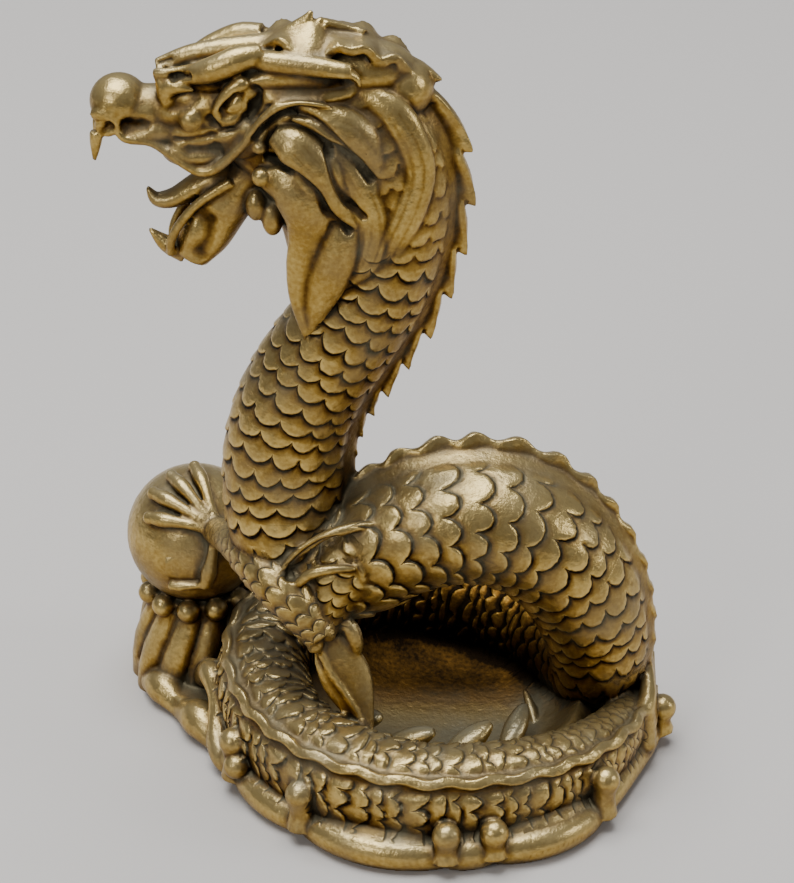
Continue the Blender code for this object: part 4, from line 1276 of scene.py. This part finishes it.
arc = node(nodes, "ShaderNodeMath", {0: inside}, operation="SQRT").outputs[0]
edge = node(nodes, "ShaderNodeMath", {0: arc, 1: SCALE_TIP, 2: row}, operation="MULTIPLY_ADD").outputs[0]
past = node(nodes, "ShaderNodeMath", {0: across.outputs[0], 1: edge}, operation="SUBTRACT").outputs[0]

# painted shadow at the scales' edges: a dark line of 0.1 mm just past the edge, a soft painted shadow after it, and a
# rubbed rim before it
line = node(nodes, "ShaderNodeMath", {0: past, 1: 0.03}, operation="SUBTRACT").outputs[0]
line = node(nodes, "ShaderNodeMath", {0: line}, operation="ABSOLUTE").outputs[0]
line = node(nodes, "ShaderNodeMapRange", {"Value": line, "From Min": 0.10, "From Max": 0.03, "To Max": 0.6}).outputs[0]
shadow_past_edge = node(nodes, "ShaderNodeMapRange", {"Value": past, "From Min": 0.45, "From Max": 0.0, "To Max": 0.3}).outputs[0]
below = node(nodes, "ShaderNodeMath", {0: past, 1: 0.0}, operation="GREATER_THAN").outputs[0]
shadow_past_edge = node(nodes, "ShaderNodeMath", {0: shadow_past_edge, 1: below}, operation="MULTIPLY").outputs[0]
rim = node(nodes, "ShaderNodeMapRange", {"Value": past, "From Min": -0.3, "From Max": -0.05, "To Max": -0.2}).outputs[0]
above = node(nodes, "ShaderNodeMath", {0: 1.0, 1: below}, operation="SUBTRACT").outputs[0]
line = node(nodes, "ShaderNodeMath", {0: rim, 1: above, 2: line}, operation="MULTIPLY_ADD").outputs[0]
line = node(nodes, "ShaderNodeMath", {0: line, 1: shadow_past_edge}, operation="ADD").outputs[0]
scale_edge_shadow_and_rim = node(nodes, "ShaderNodeMath", {0: line, 1: has_scales}, operation="MULTIPLY").outputs[0]

# patches of patina about 3 mm wide, and specks of 0.25 mm; real specks are finer, and these just show
patches = node(nodes, "ShaderNodeTexNoise", {"Vector": place, "Scale": 330, "Detail": 4}).outputs["Fac"]
specks = node(nodes, "ShaderNodeTexNoise", {"Vector": place, "Scale": 4000, "Detail": 3}).outputs["Fac"]

# how much patina and painted shade: patina in the hollows, and patina with painted shade where the casting is closed in
from_hollow = node(nodes, "ShaderNodeMapRange", {"Value": hollow, "From Min": -0.02, "From Max": 0.045}).outputs[0]
from_deep = node(nodes, "ShaderNodeMapRange", {"Value": deep, "From Min": 0.0, "From Max": 0.30}).outputs[0]
closed_patina_and_shade = node(nodes, "ShaderNodeMapRange", {"Value": openly, "From Min": 0.75, "From Max": 0.10}).outputs[0]
added = node(nodes, "ShaderNodeMath", {0: from_hollow, 1: 0.55}, operation="MULTIPLY").outputs[0]
added = node(nodes, "ShaderNodeMath", {0: from_deep, 1: 0.25, 2: added}, operation="MULTIPLY_ADD").outputs[0]
added = node(nodes, "ShaderNodeMath", {0: closed_patina_and_shade, 1: 0.42, 2: added}, operation="MULTIPLY_ADD").outputs[0]
# painted shade: sides and undersides get more of the dark tones the further they face down
side_painted_shade = node(nodes, "ShaderNodeMapRange", {"Value": up, "From Min": 0.7, "From Max": -0.7, "To Max": 0.4})
added = node(nodes, "ShaderNodeMath", {0: side_painted_shade.outputs[0], 1: added}, operation="ADD").outputs[0]
# painted shade darkens the well behind the arch, and painted light brightens its floor in front
added = node(nodes, "ShaderNodeMath", {0: well_shade_and_light, 1: 0.6, 2: added}, operation="MULTIPLY_ADD").outputs[0]
added = node(nodes, "ShaderNodeMath", {0: scale_edge_shadow_and_rim, 1: added}, operation="ADD").outputs[0]
uneven = node(nodes, "ShaderNodeMath", {0: patches, 1: 0.5}, operation="SUBTRACT").outputs[0]
added = node(nodes, "ShaderNodeMath", {0: uneven, 1: 0.6, 2: added}, operation="MULTIPLY_ADD").outputs[0]
uneven = node(nodes, "ShaderNodeMath", {0: specks, 1: 0.5}, operation="SUBTRACT").outputs[0]
patina_and_painted_shade = node(
    nodes, "ShaderNodeMath", {0: uneven, 1: 0.35, 2: added}, operation="MULTIPLY_ADD", use_clamp=True
).outputs[0]

# the tones follow the patina and the painted shade together
tones = node(nodes, "ShaderNodeValToRGB", {"Fac": patina_and_painted_shade})
ramp = tones.color_ramp
ramp.elements[0].position, ramp.elements[0].color = 0.0, POLISHED
ramp.elements[1].position, ramp.elements[1].color = 1.0, NEARLY_BLACK
for position, colour in ((0.28, WORN_GOLD), (0.62, BROWN)):
    ramp.elements.new(position).color = colour
film = node(nodes, "ShaderNodeMapRange", {"Value": patches, "From Min": 0.45, "From Max": 0.7, "To Max": 0.3})
dusty = node(nodes, "ShaderNodeMapRange", {"Value": up, "From Min": 0.1, "From Max": 1.0, "To Max": 0.45})
film = node(nodes, "ShaderNodeMath", {0: film.outputs[0], 1: dusty.outputs[0]}, operation="ADD").outputs[0]
# no dust film in the painted shade of the well, and more of it where its floor is painted light
film_outside_well_shade = node(nodes, "ShaderNodeMath", {0: 1.0, 1: well_shade_and_light}, operation="SUBTRACT").outputs[0]
film = node(nodes, "ShaderNodeMath", {0: film, 1: film_outside_well_shade}, operation="MULTIPLY", use_clamp=True).outputs[0]
filmed = node(nodes, "ShaderNodeMix", data_type="RGBA")
nodes.links.new(film, filmed.inputs[0])
nodes.links.new(tones.outputs["Color"], filmed.inputs[6])
filmed.inputs[7].default_value = GREY_FILM
nodes.links.new(filmed.outputs[2], shader.inputs["Base Color"])
# the film is no metal: where it lies, light scatters
metal = node(nodes, "ShaderNodeMath", {0: film, 1: -0.55, 2: 1.0}, operation="MULTIPLY_ADD").outputs[0]
nodes.links.new(metal, shader.inputs["Metallic"])
rough = node(nodes, "ShaderNodeMapRange", {"Value": patina_and_painted_shade, "To Min": 0.3, "To Max": 0.62}).outputs[0]
nodes.links.new(rough, shader.inputs["Roughness"])

# the sandy skin of the casting: grains of 0.12 mm, and pits up to 0.4 mm wide
grain = node(nodes, "ShaderNodeTexNoise", {"Vector": place, "Scale": 8000, "Detail": 3}).outputs["Fac"]
pits = node(nodes, "ShaderNodeTexNoise", {"Vector": place, "Scale": 2200, "Detail": 2}).outputs["Fac"]
sandy = node(nodes, "ShaderNodeBump", {"Height": grain, "Strength": 0.5, "Distance": 0.00003})
pitted = node(
    nodes, "ShaderNodeBump", {"Height": pits, "Strength": 0.5, "Distance": 0.00010, "Normal": sandy.outputs[0]}
)
# the step at the edge of a scale
step = node(nodes, "ShaderNodeMapRange", {"Value": past, "From Min": 0.06, "From Max": -0.06}).outputs[0]
step = node(nodes, "ShaderNodeMath", {0: step, 1: has_scales}, operation="MULTIPLY").outputs[0]
stepped = node(
    nodes, "ShaderNodeBump", {"Height": step, "Strength": 0.6, "Distance": 0.00012, "Normal": pitted.outputs[0]}
)
nodes.links.new(stepped.outputs[0], shader.inputs["Normal"])
print("brass has", len(nodes.nodes), "nodes")

# %% [markdown]
# ## Putting it in the frame
#
# The casting takes the place of the plain solid: it rides on the only body.

# %% Finish the dragon
dragon.name = "dragon"
dragon.data.materials.clear()
dragon.data.materials.append(brass)
dragon.data.shade_smooth()
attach(dragon, "root")
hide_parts("dragon_sculpture")
print("faces:", len(dragon.data.polygons))

# %% [markdown]
# ## Floor and light
#
# The floor is a plain pale sheet. Metal shows what it reflects, so the light is a wide soft panel overhead,
# like a white sky, with a weaker one in front, and the surroundings are an even grey.

# %% Floor
build = bmesh.new()
bmesh.ops.create_grid(build, x_segments=1, y_segments=1, size=1.5)
mesh = bpy.data.meshes.new("floor")
build.to_mesh(mesh)
build.free()
floor = bpy.data.objects.new("floor", mesh)
bpy.context.scene.collection.objects.link(floor)
paper = bpy.data.materials.new("pale_paper")
paper.use_nodes = True
paper.node_tree.nodes["Principled BSDF"].inputs["Base Color"].default_value = linear("#CFCCC8")
paper.node_tree.nodes["Principled BSDF"].inputs["Roughness"].default_value = 0.9
mesh.materials.append(paper)
print("floor at", floor.location.z)

# %% Soft light
PANELS = [  # name, place in mm, side in mm, power in watts
    ("overhead", (-60, 20, 420), 330, 2.5),
    ("front", (-220, -300, 240), 130, 0.35),
    ("right", (320, -60, 160), 100, 0.2),
]
for name, place_mm, side_mm, power in PANELS:
    lamp = bpy.data.lights.new(name, "AREA")
    lamp.size = side_mm * MM
    lamp.energy = power
    panel = bpy.data.objects.new(name, lamp)
    bpy.context.scene.collection.objects.link(panel)
    panel.location = Vector(place_mm) * MM
    panel.rotation_euler = (Vector((-2, 0, 20)) * MM - panel.location).to_track_quat("-Z", "Y").to_euler()
world = bpy.data.worlds.new("studio")
bpy.context.scene.world = world
world.use_nodes = True
world.node_tree.nodes["Background"].inputs["Color"].default_value = linear("#6E6E74")
world.node_tree.nodes["Background"].inputs["Strength"].default_value = 1.0
print("lights:", len(PANELS))
